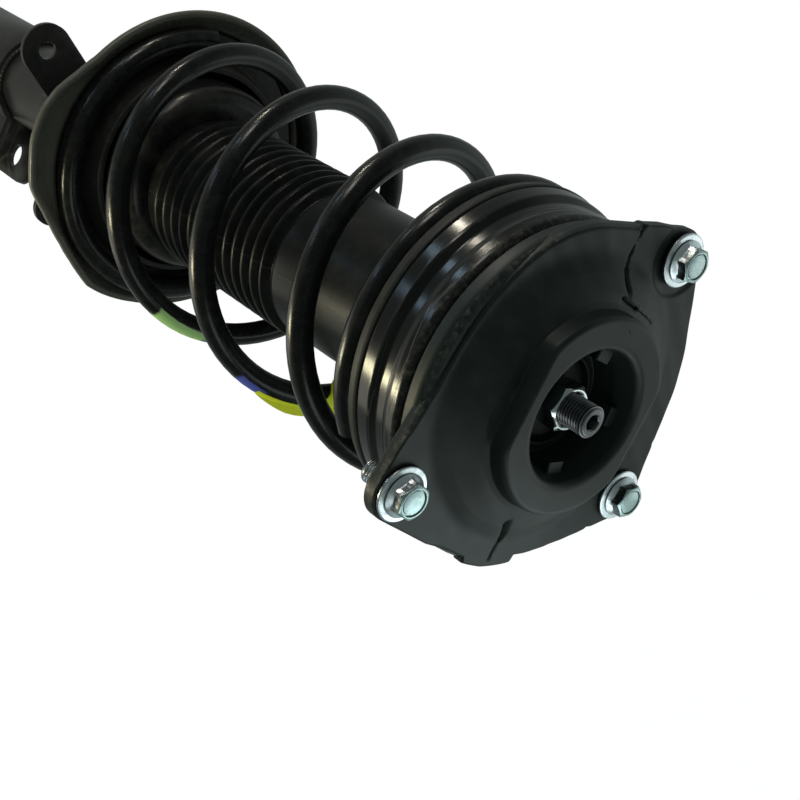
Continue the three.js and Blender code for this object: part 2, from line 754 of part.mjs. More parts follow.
// Moves the pan's edge in or out by its direction, from nothing at one radius to all of it at the next.
function reachOut(geometry, from, to) {
  const points = geometry.attributes.position;
  for (let i = 0; i < points.count; i++) {
    const [x, y] = [points.getX(i), points.getY(i)];
    const r = Math.hypot(x, y);
    const share = Math.min(1, Math.max(0, (r - from) / (to - from)));
    const angle = (THREE.MathUtils.radToDeg(Math.atan2(y, x)) + 360) % 360;
    const next = PAN_REACH.findIndex(([a]) => a > angle);
    const [[a, low], [b, high]] = [PAN_REACH[next - 1], PAN_REACH[next]];
    const k = 1 + (share * (low + ((high - low) * (angle - a)) / (b - a))) / r;
    points.setXY(i, x * k, y * k);
  }
  return geometry;
}

function lowerSeat() {
  const t = LOWER_SHEET;
  const domeIn = LOWER_DOME_R - t;
  const troughR = LOWER_DOME_R + 3;
  const wallR = LOWER_SEAT_R - 6;
  const dish = ring([
    [domeIn, LOWER_FLOOR - t],
    [wallR + 1, LOWER_FLOOR - t],
    [LOWER_SEAT_R - 1, LOWER_RIM - t],
    [LOWER_SEAT_R, LOWER_RIM - t - 2],
    [LOWER_SEAT_R + 2.5, LOWER_RIM - t],
    [LOWER_SEAT_R + 1.5, LOWER_RIM],
    [LOWER_SEAT_R - 3, LOWER_RIM],
    [wallR, LOWER_FLOOR + 1],
    [wallR - 2, LOWER_FLOOR],
    [troughR, LOWER_FLOOR],
    [LOWER_DOME_R, LOWER_FLOOR + 3],
    ...arc(LOWER_DOME_R - 8, LOWER_DOME_TOP - 8, 8, 0, 90, 4),
    [TUBE_R - SPRING_OFFSET - 2, LOWER_DOME_TOP],
    [TUBE_R - SPRING_OFFSET - 2, LOWER_DOME_TOP - t],
    ...arc(LOWER_DOME_R - 8, LOWER_DOME_TOP - 8, 8 - t, 90, 0, 3),
  ]);
  const pan = reachOut(dish, wallR - 3, wallR + 3).translate(SPRING_OFFSET, 0, 0);
  const hub = disc(TUBE_R + GAP + t, LOWER_DOME_TOP - 14, LOWER_DOME_TOP);
  const bore = disc(TUBE_R + GAP, LOWER_DOME_TOP - 20, LOWER_DOME_TOP + 1, 36);
  const [x, y] = polar(DRAIN.out, DRAIN.angle);
  const hole = disc(DRAIN.r, LOWER_FLOOR - 9, LOWER_FLOOR + 2, 12);
  const drain = hole.translate(x + SPRING_OFFSET, y, 0);
  return cut(join(pan, hub), bore, drain);
}
piece("lower_spring_seat", lowerSeat(), blackSteel);

const padBottom = LOWER_FLOOR + GAP;
const padTop = padBottom + LOWER_INSULATOR_T;
const padIn = LOWER_DOME_R + GAP + 3;
const lowerInsulator = ring([
  [SPRING_R + WIRE_R / 2, padBottom],
  [SPRING_R + WIRE_R / 2, padTop],
  [SPRING_R - WIRE_R - 3, padTop],
  [padIn + 3, LOWER_DOME_TOP - 18],
  [padIn, LOWER_DOME_TOP - 18],
  [padIn, padBottom],
]).translate(SPRING_OFFSET, 0, 0);
piece("lower_insulator", lowerInsulator, rubber);

// ---------------------------------------------------------------- brackets

// A clamp pressed round the tube, with two ears that take the wheel knuckle between them.
function knuckleBracket() {
  const bottom = BRACKET_TOP - BRACKET_H;
  const middle = BRACKET_TOP - BRACKET_H / 2;
  const wrapIn = TUBE_R + GAP;
  const wrapOut = wrapIn + BRACKET_T;
  const wrap = disc(wrapOut, bottom, BRACKET_TOP, 36);
  const earY = BRACKET_GAP / 2 + BRACKET_T / 2;
  const ears = [1, -1].map((side) =>
    block(BRACKET_REACH, BRACKET_T, BRACKET_H, -BRACKET_REACH / 2, side * earY, middle));
  const bore = disc(wrapIn, bottom - 1, BRACKET_TOP + 1, 36);
  const slot = block(BRACKET_REACH, BRACKET_GAP, BRACKET_H + 2, -BRACKET_REACH / 2 - 2, 0, middle);
  const holeX = -BRACKET_REACH + BRACKET_HOLE_EDGE;
  const holes = [1, -1].map((side) =>
    disc(BRACKET_HOLE_R, -BRACKET_REACH, BRACKET_REACH, SMALL)
      .rotateX(Math.PI / 2)
      .translate(holeX, 0, middle + (side * BRACKET_HOLE_STEP) / 2));
  return cut(join(wrap, ...ears), bore, slot, ...holes);
}
piece("knuckle_bracket", knuckleBracket(), blackSteel);

// A flat tab with a round end and a hole, standing out from a saddle on the tube.
function tubeTab({ reach, width, hole }) {
  const eye = TUBE_R + reach;
  const outline = [
    [TUBE_R - 4, -width / 2],
    ...arc(eye, 0, width / 2, -90, 90, 8),
    [TUBE_R - 4, width / 2],
  ];
  const tab = extrude(outline, -TAB_T / 2, TAB_T / 2);
  const flange = block(TUBE_R, width, 4 * TAB_T, TUBE_R / 2 + TAB_T, 0, -TAB_T);
  const tubeSpace = disc(TUBE_R + GAP, -width, width, 36);
  return cut(join(tab, flange), tubeSpace, disc(hole, -width, width, SMALL).translate(eye, 0, 0));
}

for (const [name, tab] of [["link_bracket", LINK_TAB], ["hose_bracket", HOSE_TAB]]) {
  const bracket = piece(name, tubeTab(tab), blackSteel);
  bracket.position.z = tab.z;
  bracket.rotation.z = rad(tab.angle);
}

export default strut;
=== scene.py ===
import math

import bmesh
import bpy
import numpy as np
from bpy.props import FloatProperty, FloatVectorProperty, IntProperty, PointerProperty
from mathutils import Matrix, Vector, geometry


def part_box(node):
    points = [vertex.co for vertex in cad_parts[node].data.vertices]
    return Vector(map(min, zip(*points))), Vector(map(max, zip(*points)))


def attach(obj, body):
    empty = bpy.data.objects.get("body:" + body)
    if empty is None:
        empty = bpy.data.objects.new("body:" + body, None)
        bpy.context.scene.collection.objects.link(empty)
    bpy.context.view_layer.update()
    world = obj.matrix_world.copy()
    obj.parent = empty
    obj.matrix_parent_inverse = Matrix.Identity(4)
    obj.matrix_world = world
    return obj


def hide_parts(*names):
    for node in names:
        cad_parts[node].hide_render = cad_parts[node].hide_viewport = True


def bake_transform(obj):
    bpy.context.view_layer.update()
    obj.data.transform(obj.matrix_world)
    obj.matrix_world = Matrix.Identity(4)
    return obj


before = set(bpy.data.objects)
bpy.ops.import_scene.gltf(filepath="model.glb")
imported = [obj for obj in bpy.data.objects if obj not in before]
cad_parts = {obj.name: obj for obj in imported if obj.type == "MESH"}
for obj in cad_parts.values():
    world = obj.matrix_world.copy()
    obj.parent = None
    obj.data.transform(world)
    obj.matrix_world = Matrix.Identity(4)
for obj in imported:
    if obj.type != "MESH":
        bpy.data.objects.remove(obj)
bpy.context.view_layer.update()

bl_info = {
    "name": "Strut assembly",
    "version": (1, 0, 0),
    "blender": (4, 5, 0),
    "location": "3D View > Sidebar > Strut",
    "description": "Builds a suspension strut with its top mount, spring, boot and damper",
    "category": "Add Mesh",
}

# Shapes are worked out in millimetres and turned into metres when a mesh is made.
MM = 0.001
TAU = 2 * math.pi


def low(node, axis=2):
    """Lowest coordinate of a CAD node, in millimetres."""
    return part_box(node)[0][axis] / MM


def high(node, axis=2):
    """Highest coordinate of a CAD node, in millimetres."""
    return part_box(node)[1][axis] / MM


def ends(node):
    """Lowest and highest height of a CAD node."""
    return low(node), high(node)


def middle(node):
    """Centre of a CAD node's box, in millimetres."""
    lo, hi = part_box(node)
    return (lo + hi) / 2 / MM


def numbered(name, count=3):
    return [f"{name}_{i + 1}" for i in range(count)]


BOLT_PLACES = [middle(name).to_2d() for name in numbered("mount_bolt")]
BOLT_ANGLES = [math.atan2(p.y, p.x) for p in BOLT_PLACES]
SPRING_SHIFT = 3.6  # the spring's axis lies this far along +X from the rod's
SPRING_AXIS = (SPRING_SHIFT, 0)


# ---- sizes and colours


def length(name, description, millimetres):
    size = millimetres * MM
    return FloatProperty(name=name, description=description, default=size, unit="LENGTH", precision=4)


def count(name, description, default, least, most):
    return IntProperty(name=name, description=description, default=default, min=least, max=most)


def power(name, description, default):
    return FloatProperty(name=name, description=description, default=default, unit="POWER")


def share(name, description, default):
    return FloatProperty(
        name=name, description=description, default=default, min=0, max=1, subtype="FACTOR"
    )


def colour(name, description, default):
    return FloatVectorProperty(
        name=name, description=description, default=default, size=3, min=0, max=1, subtype="COLOR"
    )


class StrutMountSizes(bpy.types.PropertyGroup):
    lobe: length("Lobe radius", "Radius of the rubber round each bolt", 13)
    skirt: length("Skirt radius", "Outer radius of the skirt under the pads", 73)
    ring: length("Ring radius", "Outer radius of the raised buffer ring", 44)
    ring_flat: length("Ring flat", "Distance of the ring's two flats from the axis", 38.5)
    bore: length("Bore radius", "Radius of the bore at the top of the ring", 30)
    pad_edge: length("Pad edge", "Rounding of the pads' upper edge", 0.9)


class StrutSpringSizes(bpy.types.PropertyGroup):
    wire: length("Wire radius", "Radius of the spring wire", 5.85)
    pitch: length("Pitch", "Rise of one turn of the spring", 76.6)
    steps: count("Steps", "Steps in one turn", 72, 24, 160)
    sides: count("Sides", "Sides round the wire", 24, 8, 48)


class StrutBootSizes(bpy.types.PropertyGroup):
    barrel: length("Barrel radius", "Radius of the smooth upper part", 37.5)
    crest: length("Crest radius", "Radius of the bellows at its folds", 41.7)
    root: length("Root radius", "Radius of the bellows between its folds", 36.5)
    folds: count("Folds", "Number of folds", 13, 3, 24)


class StrutColours(bpy.types.PropertyGroup):
    rubber: colour("Rubber", "Moulded rubber of the top mount", (0.005, 0.0085, 0.0078))
    pad: colour("Seat rubber", "Rubber pads between the spring and its seats", (0.0125, 0.0125, 0.0112))
    enamel: colour("Seat enamel", "Gloss black of the spring seats", (0.005, 0.0053, 0.0052))
    spring: colour("Spring coat", "Black coat of the spring", (0.0042, 0.0045, 0.0045))
    boot: colour("Boot", "Black plastic of the dust boot", (0.0038, 0.0044, 0.0044))
    body: colour("Damper black", "Semi-gloss black of the damper tube", (0.009, 0.009, 0.0095))
    zinc: colour("Zinc", "Bright zinc plate of the bolts", (0.74, 0.8, 0.84))
    steel: colour("Bare steel", "Turned steel of the rod's end", (0.115, 0.115, 0.12))
    green: colour("Green mark", "Light green paint on the spring", (0.26, 0.42, 0.15))
    violet: colour("Violet mark", "Blue-violet paint on the spring", (0.06, 0.075, 0.33))
    tape: colour("Tape", "Yellow tag round the spring", (0.53, 0.55, 0.004))
    dust: colour("Dust", "Dust lying in the corners", (0.115, 0.105, 0.085))


class StrutStage(bpy.types.PropertyGroup):
    floor: colour("Floor", "Plain pale floor", (0.6, 0.6, 0.6))
    ambient: share("Ambient", "Light from all round", 0.45)
    key: power("Key", "Power of the main lamp in watts", 0.7)
    fill: power("Fill", "Power of the low fill lamp in watts", 0.35)


GROUPS = {
    "strut_mount": StrutMountSizes,
    "strut_spring": StrutSpringSizes,
    "strut_boot": StrutBootSizes,
    "strut_colours": StrutColours,
    "strut_stage": StrutStage,
}


# ---- meshes


def rounded(corners, steps=4):
    """A closed outline from (x, y, radius) corners, each eased by its radius between two holding points."""
    outline = []
    for i, (x, y, radius) in enumerate(corners):
        if radius == 0:
            outline.append((x, y))
            continue
        corner = np.array((x, y), float)
        to_last = np.array(corners[i - 1][:2], float) - corner
        to_next = np.array(corners[(i + 1) % len(corners)][:2], float) - corner
        last_length, next_length = np.hypot(*to_last), np.hypot(*to_next)
        a, b = to_last / last_length, to_next / next_length
        half = math.acos(max(-1, min(1, float(a @ b)))) / 2
        straight = half > math.pi / 2 - 0.02
        if straight:
            reach = min(radius * 0.2, 0.4 * last_length, 0.4 * next_length)
        else:
            reach = min(radius / max(math.tan(half), 1e-6), 0.46 * last_length, 0.46 * next_length)
        hold = min(0.35 * radius, 0.03 * min(last_length, next_length))
        start, end = corner + a * reach, corner + b * reach
        outline.append(tuple(start + a * hold))
        bisector = a + b
        if straight or np.hypot(*bisector) < 1e-6:
            outline += [tuple(start + (end - start) * k / steps) for k in range(steps + 1)]
        else:
            centre = corner + bisector / np.hypot(*bisector) * reach / math.cos(half)
            s, e = start - centre, end - centre
            sweep = math.atan2(s[0] * e[1] - s[1] * e[0], float(s @ e))
            for k in range(steps + 1):
                c, n = math.cos(sweep * k / steps), math.sin(sweep * k / steps)
                outline.append((centre[0] + c * s[0] - n * s[1], centre[1] + n * s[0] + c * s[1]))
        outline.append(tuple(end + b * hold))
    return outline


def circle(facets):
    return np.linspace(0, TAU, facets, endpoint=False)


def arc_points(radius, start, end, steps, centre=(0, 0)):
    angles = np.linspace(start, end, steps + 1)
    return [(centre[0] + radius * math.cos(a), centre[1] + radius * math.sin(a)) for a in angles]


def loft(rings, closed=True):
    """Points and faces of a stack of closed rings. A closed stack joins its last ring to its first."""
    rings = np.asarray(rings, float)
    rows, facets = rings.shape[:2]
    i = np.arange(rows if closed else rows - 1)[:, None]
    j = np.arange(facets)[None]
    k, n = (i + 1) % rows, (j + 1) % facets
    faces = np.stack([i * facets + j, i * facets + n, k * facets + n, k * facets + j], -1)
    return rings.reshape(-1, 3), faces.reshape(-1, 4).tolist()


def stacked(rows, facets, centre=(0, 0)):
    """Rings from (radius, height) rows, where either may be an array with one value for each facet."""
    angles = circle(facets)
    rings = np.zeros((len(rows), facets, 3))
    for ring, (radius, height) in zip(rings, rows):
        ring[:, 0] = centre[0] + radius * np.cos(angles)
        ring[:, 1] = centre[1] + radius * np.sin(angles)
        ring[:, 2] = height
    return rings


def turned(profile, facets=96, centre=(0, 0)):
    """A (radius, height) profile turned about an upright line. Both its ends lie on the line, or neither."""
    return loft(stacked(profile, facets, centre), closed=profile[0][0] > 0)


def prism(outline, bottom, top, axis="Z"):
    """An outline pushed from bottom to top along an axis, with flat ends."""
    order = {"X": [2, 0, 1], "Y": [0, 2, 1], "Z": [0, 1, 2]}[axis]
    points = np.array([(a, b, c) for c in (bottom, top) for a, b in outline], float)[:, order]
    n = len(outline)
    sides = [[i, (i + 1) % n, n + (i + 1) % n, n + i] for i in range(n)]
    return points, [*sides, list(range(n)), list(range(n, 2 * n))]


def together(*parts):
    points, faces, start = [], [], 0
    for some_points, some_faces in parts:
        points.append(np.asarray(some_points, float))
        faces += [[v + start for v in face] for face in some_faces]
        start += len(some_points)
    return np.concatenate(points), faces


def shade(obj, angle):
    for polygon in obj.data.polygons:
        polygon.use_smooth = True
    obj.data.set_sharp_from_angle(angle=math.radians(angle))
    return obj


def linked(name, mesh):
    obj = bpy.data.objects.new(name, mesh)
    bpy.context.scene.collection.objects.link(obj)
    return obj


def solid(name, part, angle=38):
    """An object from points in millimetres and faces, with doubles merged and its faces turned outwards."""
    points, faces = part
    mesh = bpy.data.meshes.new(name)
    mesh.from_pydata((np.asarray(points) * MM).tolist(), [], faces)
    tidy = bmesh.new()
    tidy.from_mesh(mesh)
    bmesh.ops.remove_doubles(tidy, verts=tidy.verts, dist=2e-6)
    bmesh.ops.dissolve_degenerate(tidy, dist=1e-7, edges=tidy.edges)
    bmesh.ops.recalc_face_normals(tidy, faces=tidy.faces)
    tidy.to_mesh(mesh)
    tidy.free()
    return shade(linked(name, mesh), angle)


def settle(obj):
    """Turns an object with modifiers into a plain mesh."""
    graph = bpy.context.evaluated_depsgraph_get()
    mesh = bpy.data.meshes.new_from_object(
        obj.evaluated_get(graph), preserve_all_data_layers=True, depsgraph=graph
    )
    obj.modifiers.clear()
    old, obj.data = obj.data, mesh
    bpy.data.meshes.remove(old)
    mesh.name = obj.name
    return obj


def discard(obj):
    mesh = obj.data
    bpy.data.objects.remove(obj)
    bpy.data.meshes.remove(mesh)


def carved(obj, tools, operation="DIFFERENCE"):
    """Cuts the tools from an object, joins them to it or keeps only what lies in them, and removes them."""
    for tool in tools:
        cut = obj.modifiers.new("cut", "BOOLEAN")
        cut.operation, cut.object, cut.solver = operation, tool, "EXACT"
    settle(obj)
    for tool in tools:
        discard(tool)
    return obj


def bevelled(obj, width):
    edge = obj.modifiers.new("edge", "BEVEL")
    edge.width, edge.segments = width * MM, 2
    edge.limit_method, edge.angle_limit = "ANGLE", math.radians(40)
    edge.use_clamp_overlap = True
    return shade(settle(obj), 40)


def finish(obj, look, body=None, nodes=()):
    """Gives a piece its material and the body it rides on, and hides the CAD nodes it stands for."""
    obj.data.materials.clear()
    obj.data.materials.append(material(look))
    if body:
        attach(obj, body)
    if nodes:
        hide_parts(*nodes)
    return obj


def blackened(obj, nodes=()):
    """Finishes a piece of the damper tube's black steel."""
    return finish(obj, "Damper black", "strut_tube", nodes)


def spun(name, corners, look, body, nodes, slot, steps=4, facets=96, angle=35, centre=(0, 0)):
    """A finished piece turned from the rounded corners of its section."""
    obj = solid(name, turned(rounded(corners, steps), facets, centre), angle)
    return finish(obj, look, body, nodes)


def hexagon_radius(flats, facets, turn=0.0):
    """Radius of a hexagon in each direction, with a flat facing the turned +X axis."""
    angle = np.mod(circle(facets) - turn + math.pi / 6, math.pi / 3) - math.pi / 6
    return flats / 2 / np.cos(angle)


def thread(radius, depth, pitch, bottom, top, facets, per_turn=8):
    """Rows of a right-handed screw thread that fades in at both ends, from the top down."""
    rows = []
    steps = max(2, round((top - bottom) / pitch * per_turn))
    for k in range(steps, -1, -1):
        z = bottom + (top - bottom) * k / steps
        fade = min(1, (z - bottom) / pitch, (top - z) / pitch)
        wave = np.mod(z / pitch - circle(facets) / TAU, 1)
        groove = np.clip(1.25 - 2.5 * np.abs(wave - 0.5), 0, 1)
        rows.append((radius - depth * fade * (1 - groove), z))
    return rows


# ---- node trees

SHADER, GEOMETRY = "ShaderNodeTree", "GeometryNodeTree"
MASK = {"Mask": "Float"}
SOCKET_TYPES = {float: "Float", int: "Int", tuple: "Vector"}


class Value:
    """The value of a node's output. Arithmetic on it adds math nodes to the tree."""

    def __init__(self, wiring, socket):
        self.wiring, self.socket = wiring, socket

    def __abs__(self):
        return self.wiring.math("ABSOLUTE", self)

    def clamped(self):
        self.socket.node.use_clamp = True
        return self


for sign, sum_kind in (("add", "ADD"), ("sub", "SUBTRACT"), ("mul", "MULTIPLY"), ("truediv", "DIVIDE")):
    setattr(Value, f"__{sign}__", lambda a, b, kind=sum_kind: a.wiring.math(kind, a, b))
    setattr(Value, f"__r{sign}__", lambda a, b, kind=sum_kind: a.wiring.math(kind, b, a))


class Wiring:
    """Adds nodes to one tree and joins them. An input takes another node's value or a plain one."""

    def __init__(self, tree):
        self.tree = tree
        self.place = 0

    def node(self, kind, into=None, **settings):
        node = self.tree.nodes.new(kind)
        node.location = (self.place, 0)
        self.place += 180
        for key, value in settings.items():
            setattr(node, key, value)
        for key, value in (into or {}).items():
            if isinstance(value, Value):
                self.tree.links.new(value.socket, node.inputs[key])
            else:
                node.inputs[key].default_value = value
        return node

    def values(self, node):
        return {socket.name: Value(self, socket) for socket in node.outputs}

    def add(self, kind, into=None, out=0, **settings):
        return Value(self, self.node(kind, into, **settings).outputs[out])

    def end(self, **values):
        self.node("NodeGroupOutput", values)

    def math(self, operation, *values):
        return self.add("ShaderNodeMath", dict(enumerate(values)), operation=operation)

    def most(self, a, b):
        return self.math("MAXIMUM", a, b)

    def vector(self, operation, *values, out="Vector"):
        return self.add("ShaderNodeVectorMath", dict(enumerate(values)), out, operation=operation)

    def scaled(self, vector, factor):
        return self.add("ShaderNodeVectorMath", {0: vector, "Scale": factor}, "Vector", operation="SCALE")

    def dot(self, a, b):
        return self.vector("DOT_PRODUCT", a, b, out="Value")

    def size(self, vector):
        return self.vector("LENGTH", vector, out="Value")

    def mix(self, factor, a, b):
        return self.add("ShaderNodeMix", {0: factor, 6: a, 7: b}, 2, data_type="RGBA")

    def step(self, value, start, end, low=0.0, high=1.0):
        into = {"Value": value, "From Min": start, "From Max": end, "To Min": low, "To Max": high}
        return self.add("ShaderNodeMapRange", into, interpolation_type="SMOOTHSTEP")

    def noise(self, coords, scale, detail=4.0, roughness=0.55):
        into = {"Vector": coords, "Scale": scale, "Detail": detail, "Roughness": roughness}
        return self.add("ShaderNodeTexNoise", into)

    def coords(self, kind="Object"):
        return self.add("ShaderNodeTexCoord", out=kind)

    def flat(self, centre=0.0):
        """The place seen from above, measured from a point on the X axis."""
        here = self.vector("SUBTRACT", self.coords(), (centre, 0.0, 0.0))
        return self.vector("MULTIPLY", here, (1.0, 1.0, 0.0))

    def axis(self, name, vector=None):
        return self.add("ShaderNodeSeparateXYZ", {0: vector or self.coords()}, name)

    def upward(self, start=0.1, end=0.8, low=0.0, high=1.0):
        """A step between faces that look sideways or down and faces that look up."""
        return self.step(self.axis("Z", self.coords("Normal")), start, end, low, high)

    def group(self, name, **values):
        into = {key.replace("_", " "): value for key, value in values.items()}
        return self.values(self.node("ShaderNodeGroup", into, node_tree=shared_tree(name)))

    def mask(self, name, **values):
        return self.group(name, **values)["Mask"]

    def light_path(self):
        return self.values(self.node("ShaderNodeLightPath"))


def new_tree(name, kind, inputs, outputs):
    """The wiring and the inputs of a new tree. Each socket has a type, or a default that says it."""
    tree = bpy.data.node_groups.new(name, kind)
    for way, sockets in (("INPUT", inputs), ("OUTPUT", outputs)):
        for label, given in sockets.items():
            typed = isinstance(given, str)
            sort = "NodeSocket" + (given if typed else SOCKET_TYPES[type(given)])
            socket = tree.interface.new_socket(name=label, in_out=way, socket_type=sort)
            if not typed:
                socket.default_value = given
    w = Wiring(tree)
    return w, w.values(w.node("NodeGroupInput"))


def make_effects():
    """The shader node groups that several finishes share."""
    w, g = new_tree(
        "Fine grain",
        SHADER,
        {"Colour": "Color", "Roughness": 0.5, "Scale": 800.0, "Tone": 0.3, "Sheen Spread": 0.1},
        {"Colour": "Color", "Roughness": "Float", "Height": "Float"},
    )
    here = w.coords()
    fine = w.noise(here, g["Scale"], 6, 0.62)
    broad = w.noise(here, g["Scale"] * 0.035, 4, 0.6)
    shift = broad - 0.5 + (fine - 0.5) * 0.5
    w.end(
        Colour=w.scaled(g["Colour"], 1.0 + shift * 2.0 * g["Tone"]),
        Roughness=(g["Roughness"] + shift * g["Sheen Spread"]).clamped(),
        Height=fine,
    )

    w, g = new_tree(
        "Dust film",
        SHADER,
        {"Colour": "Color", "Roughness": 0.5, "Dust": "Color", "Amount": 0.3, "Scale": 60.0, "Where": 1.0},
        {"Colour": "Color", "Roughness": "Float"},
    )
    here = w.coords()
    patches = w.step(w.noise(here, g["Scale"], 7, 0.7), 0.42, 0.72)
    specks = w.step(w.noise(here, g["Scale"] * 14.0, 3, 0.6), 0.55, 0.7)
    film = (w.most(patches, specks * 0.5) * g["Amount"] * g["Where"]).clamped()
    rough = (g["Roughness"] + film * 0.5).clamped()
    w.end(Colour=w.mix(film, g["Colour"], g["Dust"]), Roughness=rough)

    w, g = new_tree(
        "Fine scratches", SHADER, {"Scale": 40.0, "Stretch": (1.0, 1.0, 6.0), "Density": 0.5}, MASK
    )
    here = w.vector("MULTIPLY", w.coords(), g["Stretch"])
    bend = w.scaled(w.add("ShaderNodeTexNoise", {"Vector": here, "Scale": 30.0}, "Color"), 0.012)
    into = {"Vector": w.vector("ADD", here, bend), "Scale": g["Scale"]}
    cells = w.add("ShaderNodeTexVoronoi", into, "Distance", feature="DISTANCE_TO_EDGE")
    sparse = w.step(w.noise(here, g["Scale"] * 0.6, 3), 0.72 - g["Density"] * 0.3, 0.75)
    w.end(Mask=w.step(cells, 0.012, 0.03, 1.0, 0.0) * sparse)

    w, g = new_tree("Height band", SHADER, {"Middle": 0.0, "Reach": 0.005, "Blur": 0.002}, MASK)
    away = abs(w.axis("Z") - g["Middle"])
    w.end(Mask=w.step(away, g["Reach"], g["Reach"] + g["Blur"], 1.0, 0.0))

    w, g = new_tree("Split line", SHADER, {"From": "Vector", "To": "Vector", "Width": 0.0006}, MASK)
    flat = w.flat()
    along = w.vector("SUBTRACT", g["To"], g["From"])
    reach = w.vector("SUBTRACT", flat, g["From"])
    part = (w.dot(reach, along) / w.dot(along, along)).clamped()
    away = w.size(w.vector("SUBTRACT", reach, w.scaled(along, part)))
    wobble = (w.noise(flat, 300.0, 2) - 0.5) * g["Width"]
    w.end(Mask=w.step(away + wobble, g["Width"] * 0.4, g["Width"], 1.0, 0.0))

    w, g = new_tree("Paint mark", SHADER, {"Turn From": "Float", "Turn To": "Float", "Side": 0.2}, MASK)
    turn, side = (
        w.add("ShaderNodeAttribute", out="Fac", attribute_name=name) for name in ("turn", "outward")
    )
    ragged = (w.noise(w.coords(), 220.0, 5) - 0.5) * 0.02
    place = turn + ragged
    begun = w.step(place, g["Turn From"] - 0.004, g["Turn From"] + 0.004)
    inside = begun * w.step(place, g["Turn To"] - 0.004, g["Turn To"] + 0.004, 1.0, 0.0)
    w.end(Mask=inside * w.step(side + ragged * 9.0, g["Side"] - 0.06, g["Side"] + 0.06))


def shared_tree(name):
    """A node group by its name; all of them are made when the first is asked for."""
    if name not in bpy.data.node_groups:
        for make in (make_effects, make_placing_tree, make_wire_tree):
            make()
    return bpy.data.node_groups[name]


# ---- finishes


def colours():
    """The colours set in the panel."""
    return bpy.context.scene.strut_colours


def tint(red, green, blue):
    return (red, green, blue, 1.0)


def painted(w, look, amount, over):
    """Lays a colour over the look so far."""
    look["Colour"] = w.mix(amount, look["Colour"], tint(*over))


def dusted(w, look, amount, scale, where=1.0):
    base = {"Colour": look["Colour"], "Roughness": look["Roughness"], "Dust": tint(*colours().dust)}
    look |= w.group("Dust film", **base, Amount=amount, Scale=scale, Where=where)


def rubber_marks(w, look):
    """Dust on top and along the edge on the +Y side, and the mould's splits painted near-black as painted
    shade in the clefts.
    """
    dusted(w, look, 0.05, 90.0, w.upward())
    rim = w.mask("Height band", Middle=-0.002, Reach=0.0013, Blur=0.0006)
    rim = rim * w.step(w.size(w.flat()), 0.068, 0.073)
    side = w.step(w.axis("Y"), 0.01, 0.03) * w.step(w.axis("X"), 0.055, 0.075, 1.0, 0.0)
    dusted(w, look, 0.5, 420.0, rim * side)
    split = 0.0
    for line, width, _ in GROOVES:
        for start, end in zip(line, line[1:]):
            run = {"From": (*np.multiply(start, MM), 0), "To": (*np.multiply(end, MM), 0)}
            split = w.most(split, w.mask("Split line", **run, Width=0.45 * width * MM))
    split = split * w.step(w.axis("Z"), -0.002, -0.0005)
    # The splits are painted near-black: painted shade in the clefts, on top of the grooves cut into the mesh.
    painted(w, look, split, (0.002, 0.002, 0.002))
    look["Roughness"] = w.most(look["Roughness"], split)
    look["Height"] = look["Height"] - split


def seat_wear(w, look):
    """Fine scratches, most of them round the waist, and dust along the lip."""
    marks = w.mask("Fine scratches", Scale=26.0, Stretch=(0.6, 0.6, 9.0), Density=0.7)
    waist = w.mask("Height band", Middle=-0.0235, Reach=0.006, Blur=0.004)
    worn = marks * (0.3 + waist * 0.7)
    painted(w, look, worn * 0.7, (0.09, 0.08, 0.065))
    look["Roughness"] = look["Roughness"] + worn * 0.25
    lip = w.mask("Height band", Middle=-0.0125, Reach=0.002, Blur=0.003)
    dusted(w, look, 0.28, 330.0, lip)


def pan_dust_and_highlight(w, look):
    """Dust lying in the pan, and a pale painted highlight round the rim."""
    dusted(w, look, 0.2, 50.0, w.upward())
    here = w.flat(SPRING_SHIFT * MM)
    # A pale band round the rim: a painted highlight.
    rim = w.step(w.size(here), 0.0725, 0.0765) * (0.75 - w.noise(here, 25.0, 3) * 0.5)
    painted(w, look, rim, (0.11, 0.105, 0.085))


def spring_marks(w, look):
    """The two paint marks, and specks in the coat."""
    for paint, start, end, side in (
        (colours().green, -1.636, -1.566, 0.05),
        (colours().violet, -0.635, -0.6, 0.45),
    ):
        mark = w.mask("Paint mark", Turn_From=start, Turn_To=end, Side=side)
        painted(w, look, mark, paint)
        look["Roughness"] = (look["Roughness"] + mark * 0.3).clamped()
    dusted(w, look, 0.06, 160.0)
    look["Height"] = look["Height"] + w.step(w.noise(w.coords(), 700.0, 2), 0.68, 0.74) * 1.5


def boot_seam(w, look):
    """The mould's seam up one side, and dust."""
    around = w.math("ARCTAN2", w.axis("Y"), w.axis("X"))
    ridge = w.step(abs(around - 1.9), 0.008, 0.016, 1.0, 0.0)
    dusted(w, look, 0.07, 70.0)
    look["Height"] = look["Height"] + ridge * 2.5
    painted(w, look, ridge * 0.2, (0.05, 0.05, 0.05))


def tube_wear(w, look):
    """Scratches and dust on the damper's black steel."""
    marks = w.mask("Fine scratches", Scale=18.0, Stretch=(1.0, 1.0, 1.6), Density=0.5)
    painted(w, look, marks * 0.5, (0.06, 0.058, 0.05))
    dusted(w, look, 0.12, 45.0)


def dust(amount, scale):
    """The steps of a finish that only gathers dust."""
    return lambda w, look: dusted(w, look, amount, scale)


def plate(spots):
    """A slightly uneven plate with dull spots."""

    def build(w, look):
        here = w.coords()
        dull = w.step(w.noise(here, 260.0, 6, 0.7), 0.52, 0.7) * spots
        bloom = w.step(w.noise(here, 120.0, 3), 0.4, 0.65)
        painted(w, look, bloom * 0.22, (0.62, 0.7, 0.9))
        painted(w, look, dull, (0.3, 0.29, 0.28))
        look["Roughness"] = (look["Roughness"] + dull * 0.3).clamped()

    return build


